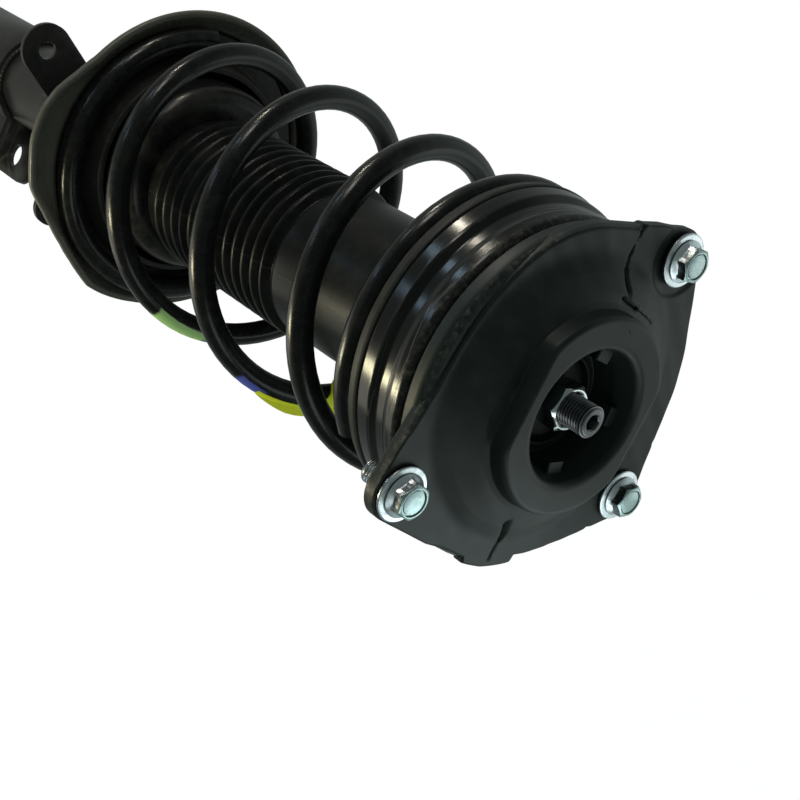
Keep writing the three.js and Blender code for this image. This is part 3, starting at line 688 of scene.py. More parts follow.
def zinc_with_painted_dark_sides(w, look):
    """Blotched zinc with a greenish crown; its upright faces get a painted dark reflection in brown, but for
    bright flecks.
    """
    here = w.coords()
    blotches = w.step(w.noise(here, 190.0, 5, 0.65), 0.45, 0.68)
    upright = w.upward(0.15, 0.5, 1.0, 0.0)
    flecks = w.step(w.noise(here, 330.0, 4, 0.6), 0.56, 0.66) * upright
    side = upright * (0.72 + blotches * 0.25) * (1.0 - flecks * 0.75)
    top = high("mount_bolt_1") * MM
    crown = w.step(w.axis("Z", here), top - 0.0015, top - 0.001)
    crown = (crown * (0.5 + w.noise(here, 900.0, 3) * 0.6)).clamped()
    painted(w, look, blotches * 0.25, (0.36, 0.4, 0.4))
    painted(w, look, crown, (0.3, 0.42, 0.41))
    # The upright faces are painted dark brown: a painted reflection of the dark surroundings, left out at
    # bright flecks.
    painted(w, look, side, (0.045, 0.04, 0.032))
    look["Roughness"] = (look["Roughness"] + blotches * 0.12 - side * 0.1).clamped()


def oiled(w, look):
    """Darker where oil has stayed on turned steel."""
    oil = w.step(w.noise(w.coords(), 180.0, 5), 0.4, 0.7)
    painted(w, look, oil * 0.5, (0.05, 0.048, 0.045))


# Colour or the name of its property, roughness, specular level, metallic, the grain's scale, tone and
# spread of sheen, strength and reach in millimetres of its bump, and the steps that come after the grain.
FINISHES = {
    "Moulded rubber": ("rubber", 0.47, 0.3, 0.0, (1500.0, 0.22, 0.16), 0.16, 0.12, rubber_marks),
    "Seat rubber": ("pad", 0.46, 0.17, 0.0, (1100.0, 0.35, 0.15), 0.1, 0.2, dust(0.12, 210.0)),
    "Seat enamel": ("enamel", 0.19, 0.23, 0.0, (420.0, 0.2, 0.1), 0.05, 0.2, seat_wear),
    "Lower seat enamel": ("enamel", 0.26, 0.24, 0.0, (420.0, 0.2, 0.12), 0.08, 0.2, pan_dust_and_highlight),
    "Spring coat": ("spring", 0.23, 0.25, 0.0, (300.0, 0.18, 0.08), 0.05, 0.25, spring_marks),
    "Tape": ("tape", 0.42, 0.2, 0.0, (260.0, 0.3, 0.1), 0.2, 0.2, dust(0.1, 200.0)),
    "Boot plastic": ("boot", 0.31, 0.12, 0.0, (900.0, 0.25, 0.14), 0.12, 0.2, boot_seam),
    "Damper black": ("body", 0.3, 0.3, 0.0, (500.0, 0.25, 0.14), 0.1, 0.2, tube_wear),
    "Sleeve black": ((0.006, 0.006, 0.006), 0.5, 0.15, 0.0, (600.0, 0.3, 0.15), 0.1, 0.2, None),
    "Dark plate": ((0.008, 0.008, 0.008), 0.45, 0.2, 0.0, (800.0, 0.3, 0.1), 0.1, 0.2, None),
    "Bearing plastic": ((0.035, 0.037, 0.04), 0.45, 0.3, 0.0, (1000.0, 0.2, 0.1), 0.1, 0.2, None),
    "Foamed urethane": ((0.58, 0.47, 0.24), 0.75, 0.3, 0.0, (1600.0, 0.25, 0.1), 0.4, 0.2, None),
    "Zinc plate": ("zinc", 0.34, 0.5, 1.0, (500.0, 0.3, 0.14), 0.12, 0.1, zinc_with_painted_dark_sides),
    "Turned steel": ("steel", 0.33, 0.5, 1.0, (700.0, 0.3, 0.16), 0.12, 0.1, oiled),
    "Ground steel": ((0.5, 0.5, 0.51), 0.32, 0.5, 1.0, (600.0, 0.3, 0.14), 0.1, 0.1, plate(0.3)),
    "Ball steel": ((0.6, 0.6, 0.61), 0.1, 0.5, 1.0, (300.0, 0.05, 0.14), 0.02, 0.1, plate(0.05)),
    "Nut plate": ((0.66, 0.72, 0.7), 0.2, 0.5, 1.0, (500.0, 0.25, 0.14), 0.1, 0.1, plate(0.25)),
}


def new_material(name):
    made = bpy.data.materials.new(name)
    made.use_nodes = True
    made.node_tree.nodes.clear()
    return made, Wiring(made.node_tree)


def material(name):
    """The material of a finish, made when it is first asked for."""
    if name in bpy.data.materials:
        return bpy.data.materials[name]
    colour_now, roughness, specular, metallic, grain, strength, reach, build = FINISHES[name]
    if isinstance(colour_now, str):
        colour_now = getattr(colours(), colour_now)
    made, w = new_material(name)
    base = {"Colour": tint(*colour_now), "Roughness": roughness}
    look = w.group("Fine grain", **base, Scale=grain[0], Tone=grain[1], Sheen_Spread=grain[2])
    if build:
        build(w, look)
    bump = {"Strength": strength, "Distance": reach * MM, "Height": look["Height"]}
    coat = {
        "Base Color": look["Colour"],
        "Roughness": look["Roughness"],
        "Metallic": metallic,
        "Normal": w.add("ShaderNodeBump", bump),
        "IOR": 1.45,
        "Specular IOR Level": specular,
    }
    w.node("ShaderNodeOutputMaterial", {"Surface": w.add("ShaderNodeBsdfPrincipled", coat)})
    return made


# ---- copies and wires


def close_tree(w, g, shape, label):
    """Ends a tree with one real mesh in its finish."""
    real = w.add("GeometryNodeRealizeInstances", {0: shape})
    w.end(**{label: w.add("GeometryNodeSetMaterial", {"Geometry": real, "Material": g["Finish"]})})


def named_attribute(w, name, data_type="FLOAT"):
    return w.add("GeometryNodeInputNamedAttribute", {"Name": name}, data_type=data_type)


def make_placing_tree():
    """A copy of a shape at each point, turned by the point's own angles, as one mesh."""
    inputs = {"Points": "Geometry", "Shape": "Object", "Size": 1.0, "Finish": "Material"}
    w, g = new_tree("Place copies", GEOMETRY, inputs, {"Copies": "Geometry"})
    shape = w.add("GeometryNodeObjectInfo", {"Object": g["Shape"]}, "Geometry")
    turn = w.add("FunctionNodeEulerToRotation", {0: named_attribute(w, "facing", "FLOAT_VECTOR")})
    into = {"Points": g["Points"], "Instance": shape, "Rotation": turn, "Scale": g["Size"]}
    close_tree(w, g, w.add("GeometryNodeInstanceOnPoints", into), "Copies")


def make_wire_tree():
    """A round wire or weld bead along a line, with closed ends and an optional ripple."""
    inputs = {"Line": "Geometry", "Radius": 0.005, "Sides": 24, "Ripple": 0.0, "Ripple Length": 0.003}
    inputs |= {"Finish": "Material", "Seed": 3}
    w, g = new_tree("Run a wire", GEOMETRY, inputs, {"Wire": "Geometry"})
    curve = w.add("GeometryNodeMeshToCurve", {"Mesh": g["Line"]})
    into = {"Curve": curve, "Radius": named_attribute(w, "thickness")}
    curve = w.add("GeometryNodeSetCurveRadius", into)
    run = w.add("GeometryNodeSplineParameter", out="Length")
    into = {"Geometry": curve, "Name": "run", "Value": run}
    curve = w.add("GeometryNodeStoreNamedAttribute", into, data_type="FLOAT", domain="POINT")
    into = {"Resolution": g["Sides"], "Radius": g["Radius"]}
    section = w.add("GeometryNodeCurvePrimitiveCircle", into)
    into = {"Curve": curve, "Profile Curve": section, "Fill Caps": True}
    mesh = w.add("GeometryNodeCurveToMesh", into)
    wave = w.math("SINE", named_attribute(w, "run") / g["Ripple Length"] * TAU)
    into = {"Scale": 400.0, "W": g["Seed"] * 1.7}
    jitter = w.add("ShaderNodeTexNoise", into, noise_dimensions="4D")
    swell = (wave + (jitter - 0.5)) * g["Ripple"]
    offset = w.scaled(w.add("GeometryNodeInputNormal"), swell)
    mesh = w.add("GeometryNodeSetPosition", {"Geometry": mesh, "Offset": offset})
    close_tree(w, g, mesh, "Wire")


def run_tree(obj, name, values):
    """Runs a Geometry Nodes tree on an object and keeps the result as its plain mesh."""
    tree = shared_tree(name)
    modifier = obj.modifiers.new(tree.name, "NODES")
    modifier.node_group = tree
    named = {s.name: s.identifier for s in tree.interface.items_tree if s.in_out == "INPUT"}
    for label, value in values.items():
        modifier[named[label]] = value
    return settle(obj)


def point_object(name, points, edges=(), **attributes):
    """An object of loose points in millimetres, which may have attributes."""
    mesh = bpy.data.meshes.new(name)
    mesh.from_pydata((np.asarray(points, float) * MM).tolist(), list(edges), [])
    for label, values in attributes.items():
        values = np.asarray(values, np.float32)
        kind, field = ("FLOAT_VECTOR", "vector") if values.ndim == 2 else ("FLOAT", "value")
        mesh.attributes.new(label, kind, "POINT").data.foreach_set(field, values.ravel())
    return linked(name, mesh)


def copies(name, shape, places, look):
    """One piece that holds a shape at each place. A place is (x, y, z, turn about Z)."""
    facing = [(0, 0, turn) for *_, turn in places]
    obj = point_object(name, [p[:3] for p in places], facing=facing)
    run_tree(obj, "Place copies", {"Shape": shape, "Size": 1.0, "Finish": material(look)})
    discard(shape)
    return shade(obj, 38)


def wire(name, points, radius, look, sides=12, ripple=0.0, ripple_length=3.0, thickness=None, **more):
    """One piece that follows a line of points, in millimetres."""
    thickness = np.ones(len(points)) if thickness is None else thickness
    edges = [(i, i + 1) for i in range(len(points) - 1)]
    obj = point_object(name, points, edges, thickness=thickness, **more)
    values = {"Radius": radius * MM, "Sides": sides, "Finish": material(look)}
    values |= {"Ripple": ripple * MM, "Ripple Length": ripple_length * MM}
    return shade(run_tree(obj, "Run a wire", values), 50)


def bead(name, radius, height, spread=(0, TAU), size=1.4):
    """A finished, rippled weld bead that runs round the damper tube or part of the way."""
    steps = max(12, round(abs(spread[1] - spread[0]) * radius / 0.8))
    points = [(*p, height) for p in arc_points(radius, *spread, steps - 1)]
    obj = wire(name, points, size, "Damper black", 10, ripple=0.22, ripple_length=2.6)
    return blackened(obj)


# ---- top mount

# How far the outline lies outside the skirt before and after each lobe.
OUTLINE_REACH = ((7, 2), (-6, 3.5), (3.5, 7))

# The mould's small steps, notches and tab along the outline: direction in degrees, distance.
EDGE_MARKS = (
    (156, 0), (163, -0.9), (171, -1.6), (175.6, -1.2), (176.6, 1.0), (186, 1.5), (199, 1.0), (200.2, -1.9),
    (206, -0.9), (214, 0), (231.6, 0), (232.6, -0.8), (234.2, 0.1), (238, 0), (265.4, 0), (266.6, -0.7),
    (268.4, 0), (344, 0), (350, 0.9), (356, 0.6), (358.5, 0.9), (359.5, 0),
)

# The mould's splits on the upper face: points in millimetres, half width, depth.
GROOVES = (
    (((80.0, -1.6), (74.0, -0.4), (69.7, 0.9), (64.0, 1.8), (59.0, 2.6)), 0.95, 1.2),
    (((59.2, 2.6), (56.8, 2.3), (54.4, 1.2), (52.0, -1.0)), 1.8, 2.0),
    (((48.6, 2.4), (47.6, -3.0), (47.0, -8.0)), 1.6, 1.1),
    (((47.0, -8.0), (46.6, -14.0), (45.8, -20.0), (44.4, -26.0)), 1.1, 0.8),
    (((-53.6, -2.2), (-57.2, -5.6), (-60.4, -9.0), (-63.0, -10.3)), 1.9, 2.6),
    (((-63.0, -10.3), (-68.7, -10.1), (-73.6, -10.4)), 1.1, 0.9),
    (((37.6, 0.6), (39.0, 2.6)), 0.7, 0.4),
)


def mount_outline(facets):
    """Distance of the three-lobed outline from the rod's axis, in each direction."""
    sizes = bpy.context.scene.strut_mount
    skirt, lobe = sizes.skirt / MM, sizes.lobe / MM
    bolt_circle = BOLT_PLACES[0].length
    points = []
    for i, place in enumerate(BOLT_PLACES):
        points += arc_points(lobe, 0, TAU, 72, place)[:-1]
        following = (i + 1) % 3
        after, before = OUTLINE_REACH[i][1], OUTLINE_REACH[following][0]
        start = BOLT_ANGLES[i] + math.acos((skirt + after - lobe) / bolt_circle)
        end = BOLT_ANGLES[following] - math.acos((skirt + before - lobe) / bolt_circle)
        sweep = (end - start) % TAU
        for k in range(41):
            t = k / 40
            radius = skirt + after + (before - after) * t * t * (3 - 2 * t)
            points.append((radius * math.cos(start + sweep * t), radius * math.sin(start + sweep * t)))
    edge = np.array([points[i] for i in geometry.convex_hull_2d(points)])
    side = np.roll(edge, -1, 0) - edge
    radii = np.zeros(facets)
    for k, angle in enumerate(circle(facets)):
        x, y = math.cos(angle), math.sin(angle)
        cross = x * side[:, 1] - y * side[:, 0]
        with np.errstate(divide="ignore", invalid="ignore"):
            far = (edge[:, 0] * side[:, 1] - edge[:, 1] * side[:, 0]) / cross
            part = (edge[:, 0] * y - edge[:, 1] * x) / cross
        radii[k] = far[(part >= -1e-6) & (part <= 1 + 1e-6) & (far > 0)].max()
    return radii


def mount_cover():
    """Pads, dome, buffer ring and bore of the top mount as one skin, worked out direction by direction."""
    sizes = bpy.context.scene.strut_mount
    facets, row_gap, flat_ease = 560, 1.3, 1.3
    angles = circle(facets)
    outline = mount_outline(facets) + np.interp(np.degrees(angles), *zip(*EDGE_MARKS), left=0, right=0)
    ring_top = high("mount_rubber")
    under, pad_foot, pad_edge = -2.3, -6.2, sizes.pad_edge / MM
    sleeve_foot, mount_foot = low("inner_sleeve"), low("mount_rubber")
    bore = sizes.bore / MM
    flat = np.minimum(sizes.ring_flat / MM / np.maximum(np.abs(np.sin(angles)), 1e-6), 200)
    ring = -np.log(np.exp(-flat_ease * sizes.ring / MM) + np.exp(-flat_ease * flat)) / flat_ease
    ring = np.minimum(ring, sizes.ring / MM)
    columns = []
    for far, ridge in zip(outline, ring):
        edge = pad_edge + 1.1 * max(0.0, min(1.0, (78.5 - far) / 2))
        column = [
            (52, under, 0), (far - 1.8, under, 0), (far - 1.8, pad_foot, 0.5), (far, pad_foot, 0.8),
            (far, 0, edge), (64.5, 0.05, 13), (57, 4.2, 6), (46.4, 9.4, 3), (ridge + 0.3, 10.7, 1.0),
            (ridge - 0.3, ring_top, 2.4), (bore, ring_top, 3.6), (26.6, 8, 3), (25, -3, 0.6), (21.6, -3, 0),
            (21.6, sleeve_foot, 0), (29, sleeve_foot, 0.4), (29, mount_foot, 0.6), (49.7, mount_foot, 0.6),
            (49.7, under, 0),
        ]
        columns.append(rounded(column, 4))
    radii, heights = closer_rows(np.array(columns), row_gap).T
    rings = np.stack([radii * np.cos(angles), radii * np.sin(angles), heights], -1)
    rings[:, :, 2] += mount_relief(rings, angles)
    return loft(rings)


def closer_rows(grid, gap):
    """Adds rows on the upper face, so that no two lie further apart than the gap."""
    rows = [grid[:, 0]]
    for a, b in zip(grid.transpose(1, 0, 2)[:-1], grid.transpose(1, 0, 2)[1:]):
        upper = min(a[:, 1].min(), b[:, 1].min()) > -1.5 and max(a[:, 0].min(), b[:, 0].min()) > 43
        parts = math.ceil(np.hypot(*(b - a).T).max() / gap) if upper else 1
        rows += [a + (b - a) * k / parts for k in range(1, parts + 1)]
    return np.stack(rows, 1)


def ramp(values, width=1.0):
    """Nothing below zero, one beyond the width, and a straight rise between them."""
    return np.clip(values / width, 0, 1)


def mount_relief(rings, angles):
    """Height of the mould's step and splits, and of the rubber's slight waves."""
    x, y, z = rings[:, :, 0], rings[:, :, 1], rings[:, :, 2]
    radius = np.hypot(x, y)
    top = (z > -1.2) & (z < 10.6) & (radius > 44.5)
    turn = (np.degrees(angles)[None] + 180) % 360 - 180
    past = turn - np.interp(radius, [46, 54, 58, 63, 70, 78], [-20, -8, -3, -1.4, -0.4, 1.5])
    step = np.where((past > 0) & (past < 40), ramp(past, 0.8) * ramp(40 - past, 25), 0)
    lift = 1.5 * step * ramp(radius - 46, 4) * ramp(80 - radius, 3)
    for line, width, depth in GROOVES:
        away = np.full(radius.shape, 99.0)
        for (ax, ay), (bx, by) in zip(line, line[1:]):
            along = np.array((bx - ax, by - ay))
            part = ramp((x - ax) * along[0] + (y - ay) * along[1], along @ along)
            away = np.minimum(away, np.hypot(x - ax - part * along[0], y - ay - part * along[1]))
        lift = lift - depth * np.clip(1 - away / width, 0, 1) ** 1.2
    boss = np.hypot(x - BOLT_PLACES[0].x, y - BOLT_PLACES[0].y)
    lift = lift - 0.9 * ramp(17.4 - boss, 1.4)
    waves = 0.09 * np.sin(0.23 * x + 1.1) * np.sin(0.19 * y - 0.4) + 0.05 * np.sin(0.51 * x - 0.37 * y)
    return np.where(top, lift + waves * ramp(radius - 44.5, 4), 0.0)


class STRUT_OT_top_mount(bpy.types.Operator):
    """Builds the rubber of the top mount: pads, dome, buffer ring, bore, stops and skirt"""

    bl_idname = "strut.top_mount"
    bl_label = "Top mount"

    def execute(self, context):
        skirt = context.scene.strut_mount.skirt / MM
        foot = low("mount_rubber")
        corners = [
            (skirt - 4.4, foot, 0.8), (skirt, foot, 1.4), (skirt, -1.6, 4.5), (skirt - 10, -1.2, 0),
            (skirt - 10, -3.5, 0), (skirt - 4.4, -3.5, 0),
        ]
        part = together(mount_cover(), turned(rounded(corners, 5), 144))
        obj = solid("top_mount_rubber", part, 30)
        finish(obj, "Moulded rubber", "top_mount", ["mount_rubber"])

        corners = [(-4.5, 7.0, 0.6), (4.5, 7.0, 0.6), (4.5, 11.5, 0.9), (-4.5, 11.5, 0.9)]
        stop = solid("stop", prism(rounded(corners, 3), -2.0, 3.2, "X"))
        stop_circle, angles = 24.6, np.radians((-3, 96, 194.5, 276))
        places = [(stop_circle * math.cos(a), stop_circle * math.sin(a), 0, a) for a in angles]
        stops = copies("top_mount_stops", stop, places, "Moulded rubber")
        finish(stops, "Moulded rubber", "top_mount")
        return {"FINISHED"}


# ---- bolts


def bolt_shape():
    """An M10 bolt: flanged, chamfered hexagon head with a dished top, plain neck and thread."""
    facets, floor, bevel_start = 72, 2.6, 6.45
    foot, top = ends("mount_bolt_1")
    hexagon = hexagon_radius(14, facets)
    shoulder = top - np.maximum(0, hexagon - bevel_start) * math.tan(math.radians(30))
    rows = [
        (0, top - 0.3), (4.8, top - 0.3), (5.15, top - 0.42), (5.3, top - 0.9), (5.65, top - 0.9),
        (5.8, top - 0.15), (5.95, top), (6.25, top), (bevel_start, top - 0.06),
        (hexagon - 0.12, shoulder + 0.03), (hexagon - 0.02, shoulder - 0.1), (hexagon, shoulder - 0.3),
        (hexagon, floor + 2.0), (hexagon * 0.5 + 4.35, floor + 1.3), (9.3, floor + 0.55),
        (9.5, floor + 0.3), (9.4, floor + 0.05), (9.0, floor), (5, floor), (5, -5.5),
        *thread(5, 0.75, 1.5, foot + 1.2, -5.6, facets), (4.1, foot + 0.1), (3.9, foot), (0, foot),
    ]
    return solid("bolt", loft(stacked(rows, facets), closed=False), 32)


class STRUT_OT_mount_bolts(bpy.types.Operator):
    """Builds the three mount bolts with their washers and weld nuts"""

    bl_idname = "strut.mount_bolts"
    bl_label = "Mount bolts"

    def execute(self, context):
        foot, top = ends("mount_washer_1")
        washer = [(5.3, foot, 0.2), (12, foot, 0.5), (12, top - 0.35, 0.7), (9.2, top, 2.0), (5.3, top, 0.4)]
        foot, top = ends("weld_nut_1")
        nut = [(5.2, foot, 0.4), (7.5, foot, 0.7), (7.5, top, 0.3), (5.2, top, 0)]
        self.at_each("bolts", bolt_shape(), "mount_bolt")
        self.at_each("bolt_washers", solid("washer", turned(rounded(washer, 3), 72)), "mount_washer")
        self.at_each("weld_nuts", solid("nut", turned(rounded(nut, 3), 48)), "weld_nut")
        return {"FINISHED"}

    def at_each(self, name, shape, node):
        turns = np.radians((8, -12, 22))
        places = [(*p, 0, turn) for p, turn in zip(BOLT_PLACES, turns)]
        obj = copies(name, shape, places, "Zinc plate")
        finish(obj, "Zinc plate", "top_mount", numbered(node))


# ---- rod end and its fixings


class STRUT_OT_rod_fixings(bpy.types.Operator):
    """Builds the inner sleeve, the rod's washer and nut, and the rod with its thread and hexagon socket"""

    bl_idname = "strut.rod_fixings"
    bl_label = "Rod and fixings"

    def execute(self, context):
        (foot, rim), floor = ends("inner_sleeve"), low("rod_washer") - 0.3
        corners = [
            (21.3, foot, 0.6), (21.3, rim, 0.8), (19.3, rim, 0.6), (19.3, floor, 1.6), (7.3, floor, 0.3),
            (7.3, foot, 0.2),
        ]
        owner = ("top_mount", ["inner_sleeve"], "black_steel")
        spun("inner_sleeve_cup", corners, "Sleeve black", *owner, angle=38)

        foot, top = ends("rod_washer")
        corners = [(7.3, foot, 0.2), (17, foot, 0.5), (17, top, 0.8), (7.3, top, 0.3)]
        owner = ("top_mount", ["rod_washer"], "zinc")
        spun("rod_end_washer", corners, "Dark plate", *owner, angle=38)

        self.nut()
        self.rod()
        return {"FINISHED"}

    def nut(self):
        facets, bevel_start = 96, 8.9
        foot, top = ends("rod_nut")
        hexagon = hexagon_radius(19, facets, math.radians(18))
        bevel = np.maximum(0, hexagon - bevel_start) * math.tan(math.radians(30))
        rows = [
            (7.3, foot + 0.6), (7.9, foot), (hexagon - 0.9, foot), (hexagon - 0.2, foot + 0.1 + bevel),
            (hexagon, foot + 0.4 + bevel), (hexagon, top - 0.5 - bevel), (hexagon - 0.1, top - 0.2 - bevel),
            (bevel_start, top), (8.3, top), (7.3, top - 0.8),
        ]
        obj = solid("rod_end_nut", loft(stacked(rows, facets)), 32)
        finish(obj, "Nut plate", "top_mount", ["rod_nut"])

    def rod(self):
        facets = 72
        tip, shoulder, foot = high("piston_rod"), high("bump_stop"), low("piston_rod")
        socket = hexagon_radius(6, facets, math.radians(12))
        step = high("piston") + 0.3
        rows = [
            (0, tip - 8.2), (socket * 0.55, tip - 7.4), (socket * 0.97, tip - 7), (socket, tip - 6.8),
            (socket, tip - 0.7), (socket + 0.1, tip - 0.5), (3.9, tip), (4.2, tip), (5.5, tip),
            (5.9, tip - 0.15), (6.35, tip - 0.75), *thread(7, 0.72, 1.5, -1.0, tip - 0.9, facets, 10),
            (7, -1.4), (7, shoulder + 0.3), (7.3, shoulder), (10.4, shoulder), (11, shoulder - 0.6),
            (11, step + 0.8), (10.2, step), (6.3, step), (6, step - 0.4), (6, foot + 0.6), (5.4, foot),
            (0, foot),
        ]
        obj = solid("damper_rod", loft(stacked(rows, facets), closed=False), 32)
        finish(obj, "Turned steel", "top_mount", ["piston_rod"])


# ---- bearing


class STRUT_OT_bearing(bpy.types.Operator):
    """Builds the bearing's balls; its races and cage keep their own shapes"""

    bl_idname = "strut.bearing"
    bl_label = "Bearing balls"

    def execute(self, context):
        names = numbered("bearing_ball", 10)
        profile = arc_points(3, -math.pi / 2, math.pi / 2, 12)
        profile[0], profile[-1] = (0, -3), (0, 3)
        ball = solid("ball", turned(profile, 24))
        obj = copies("bearing_balls", ball, [(*middle(name), 0) for name in names], "Ball steel")
        finish(obj, "Ball steel", "bearing_rollers", names)
        return {"FINISHED"}


# ---- upper spring seat


def leaned(part, top, bottom):
    """Shifts a part towards +X, from nothing at the top to the spring's shift at the bottom."""
    points, faces = part
    points = points.copy()
    points[:, 0] += SPRING_SHIFT * (top - points[:, 2]) / (top - bottom)
    return points, faces


class STRUT_OT_upper_seat(bpy.types.Operator):
    """Builds the upper spring seat with its two rolled bands, its bearing pocket and the rubber lip below"""

    bl_idname = "strut.upper_seat"
    bl_label = "Upper spring seat"

    def execute(self, context):
        top, lip = high("upper_spring_seat"), -37.6
        pocket_floor = low("bearing_lower_race") - 0.3
        shell = [
            (74, lip, 0.9), (74, -30.2, 3.4), (72.2, -26.4, 2.4), (72.2, -22.2, 2.2), (73.3, -18.8, 2.2),
            (73.3, top, 4.6), (51, top, 0.6), (51, top - 2.5, 0), (70.8, top - 2.5, 2.6), (70.8, -19, 1.5),
            (69.7, -22, 1.5), (69.7, -26.6, 1.5), (71.5, -30.4, 1.5), (71.5, lip, 0.9),
        ]
        pocket = [
            (53.5, pocket_floor - 2.5, 1.5), (53.5, top - 1, 0), (51, top - 1, 0), (51, pocket_floor, 1),
            (30, pocket_floor, 1.2), (30, pocket_floor - 14.5, 0.6), (33, pocket_floor - 14.5, 0.6),
            (33, pocket_floor - 2.5, 1.2),
        ]
        part = together(leaned(turned(rounded(shell, 5), 160), top, lip), turned(rounded(pocket, 4), 96))
        obj = solid("upper_seat_shell", part, 30)
        finish(obj, "Seat enamel", "upper_seat", ["upper_spring_seat"])

        lip_top, face = lip - 0.3, high("coil_spring") + 0.3
        foot, pad_top = ends("upper_insulator")
        pad = [
            (61.65, foot, 0.8), (61.65, face, 1.0), (73.9, face, 1.6), (74.6, lip_top - 1.5, 1.2),
            (74.2, lip_top, 0.7), (68, lip_top, 0.4), (68, pad_top, 0.8), (60.6, pad_top, 0.8),
            (57, foot, 0.8),
        ]
        owner = ("upper_seat", ["upper_insulator"], "rubber")
        spun("upper_seat_pad", pad, "Seat rubber", *owner, 4, 160, 30, SPRING_AXIS)
        return {"FINISHED"}


# ---- coil spring

COIL_RADIUS = 69.0  # from the spring's axis to the wire's centre line
COIL_DATUM = -102.4  # height of the wire's centre line at turn nought
COIL_PHASE = math.radians(28.2)  # direction of the wire's centre line at turn nought
CLOSED_END = 0.62  # turns of wire that lie flat at each end
TAG_START, TAG_LENGTH, TAG_THICKNESS = -0.61, 0.135, 0.28  # in turns, turns and millimetres


def coil_limits():
    """Heights at which the wire's centre line lies flat at its top and its bottom."""
    wire_radius = bpy.context.scene.strut_spring.wire / MM
    return high("coil_spring") - wire_radius, low("coil_spring") + wire_radius


def coil_turns():
    """The turns at which the steady rise would reach those heights."""
    pitch = bpy.context.scene.strut_spring.pitch / MM
    return [(height - COIL_DATUM) / pitch for height in coil_limits()]


def coil_line(turns):
    """Points on the wire's centre line: a steady rise that eases to flat at both closed ends."""
    pitch = bpy.context.scene.strut_spring.pitch / MM
    upper, lower = coil_turns()
    ease = 0.3

    def soften(over):
        x = np.clip((over + ease) / (2 * ease), 0, 1)
        return np.where(over >= ease, over, ease * x * x)

    height = COIL_DATUM + pitch * (turns - soften(turns - upper) + soften(lower - turns))
    angle = COIL_PHASE + TAU * turns
    x, y = SPRING_SHIFT + COIL_RADIUS * np.cos(angle), COIL_RADIUS * np.sin(angle)
    return np.stack([x, y, height], -1)


def outward_ways(centre):
    """Unit vectors from the spring's axis through points on its centre line."""
    ways = centre[:, :2] - SPRING_AXIS
    return ways / np.linalg.norm(ways, axis=1)[:, None]


def set_follow(obj, values):
    """Bakes the piece's place into its mesh."""
    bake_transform(obj)


def follow_coil(obj, turns):
    """Works out how far down the spring the wire lies at each point's turn, and bakes the piece's place into
    its mesh.
    """
    top, bottom = coil_limits()
    set_follow(obj, np.clip((top - coil_line(turns)[:, 2]) / (top - bottom), 0, 1))


def read_floats(data, field, size=1):
    """A field of every item of a mesh's data, in one row."""
    values = np.zeros(len(data) * size, np.float32)
    data.foreach_get(field, values)
    return values.astype(float)


class STRUT_OT_coil_spring(bpy.types.Operator):
    """Builds the coil spring along its route, with paint marks, and the yellow tag stuck on it"""

    bl_idname = "strut.coil_spring"
    bl_label = "Coil spring"

    def execute(self, context):
        sizes = context.scene.strut_spring
        wire_radius = sizes.wire / MM
        upper, lower = coil_turns()
        first, last = lower - CLOSED_END, upper + CLOSED_END
        turns = np.linspace(first, last, round((last - first) * sizes.steps) + 1)
        thickness = np.ones(len(turns))
        thickness[[0, -1]] = 0.9
        more = {"thickness": thickness, "turn": turns}
        obj = wire("spring", coil_line(turns), wire_radius, "Spring coat", sizes.sides, **more)
        mesh = obj.data
        turn = read_floats(mesh.attributes["turn"].data, "value")
        centre = coil_line(turn)
        away = read_floats(mesh.vertices, "co", 3).reshape(-1, 3) / MM - centre
        outward = (away[:, :2] * outward_ways(centre)).sum(1) / wire_radius
        marks = mesh.attributes.new("outward", "FLOAT", "POINT")
        marks.data.foreach_set("value", outward.astype(np.float32))
        finish(obj, "Spring coat", None, ["coil_spring"])
        follow_coil(obj, turn)
        self.tag(wire_radius + 0.35)
        return {"FINISHED"}

    def tag(self, fold_radius):
        """A strip of tape folded over the wire, with a pointed lower corner and a tail at the far end."""
        along, across = np.linspace(0, 1, 33), np.linspace(0, 1, 15)
        centre = coil_line(TAG_START + TAG_LENGTH * along)
        ways = np.pad(outward_ways(centre), ((0, 0), (0, 1)))
        outer = np.interp(along, [0, 0.04, 0.35, 0.45, 1], [5.6, 6.2, 10.4, 11.0, 11.4])
        inner = np.interp(along, [0, 0.1, 0.55, 0.72, 0.86, 1], [3.8, 3.6, 3.2, -8.0, -17.0, -20.0])
        rows = []
        for s in across:
            reach = inner + (outer - inner) * s
            over = np.sqrt(np.clip(fold_radius**2 - reach**2, 0.02, None))
            curl = 0.6 * np.sin(3.0 * along + 2 * s)
            point = centre + ways * reach[:, None]
            point[:, 2] += over + 0.3 * curl * np.clip(np.abs(reach) / fold_radius - 1, 0, 1)
            rows.append(point)
        upper = np.array(rows).reshape(-1, 3)
        m, n = len(along), len(across)
        faces = []
        for i in range(n - 1):
            for j in range(m - 1):
                a, b, c, d = i * m + j, i * m + j + 1, (i + 1) * m + j + 1, (i + 1) * m + j
                faces += [[a, b, c, d], [d + n * m, c + n * m, b + n * m, a + n * m]]
        index = np.arange(n * m).reshape(n, m)
        border = [index[0], index[1:, -1], index[-1, -2::-1], index[-2:0:-1, 0]]
        border = np.concatenate(border).tolist()
        faces += [[a, a + n * m, b + n * m, b] for a, b in zip(border, border[1:] + border[:1])]
        points = np.concatenate([upper, upper - (0, 0, TAG_THICKNESS)])
        obj = finish(solid("spring_tag", (points, faces), 60), "Tape")
        places = read_floats(obj.data.vertices, "co", 3).reshape(-1, 3)
        angle = np.arctan2(places[:, 1], places[:, 0] - SPRING_SHIFT * MM)
        turn = (angle - COIL_PHASE) / TAU
        follow_coil(obj, turn - np.round(turn + 0.55))


# ---- dust boot


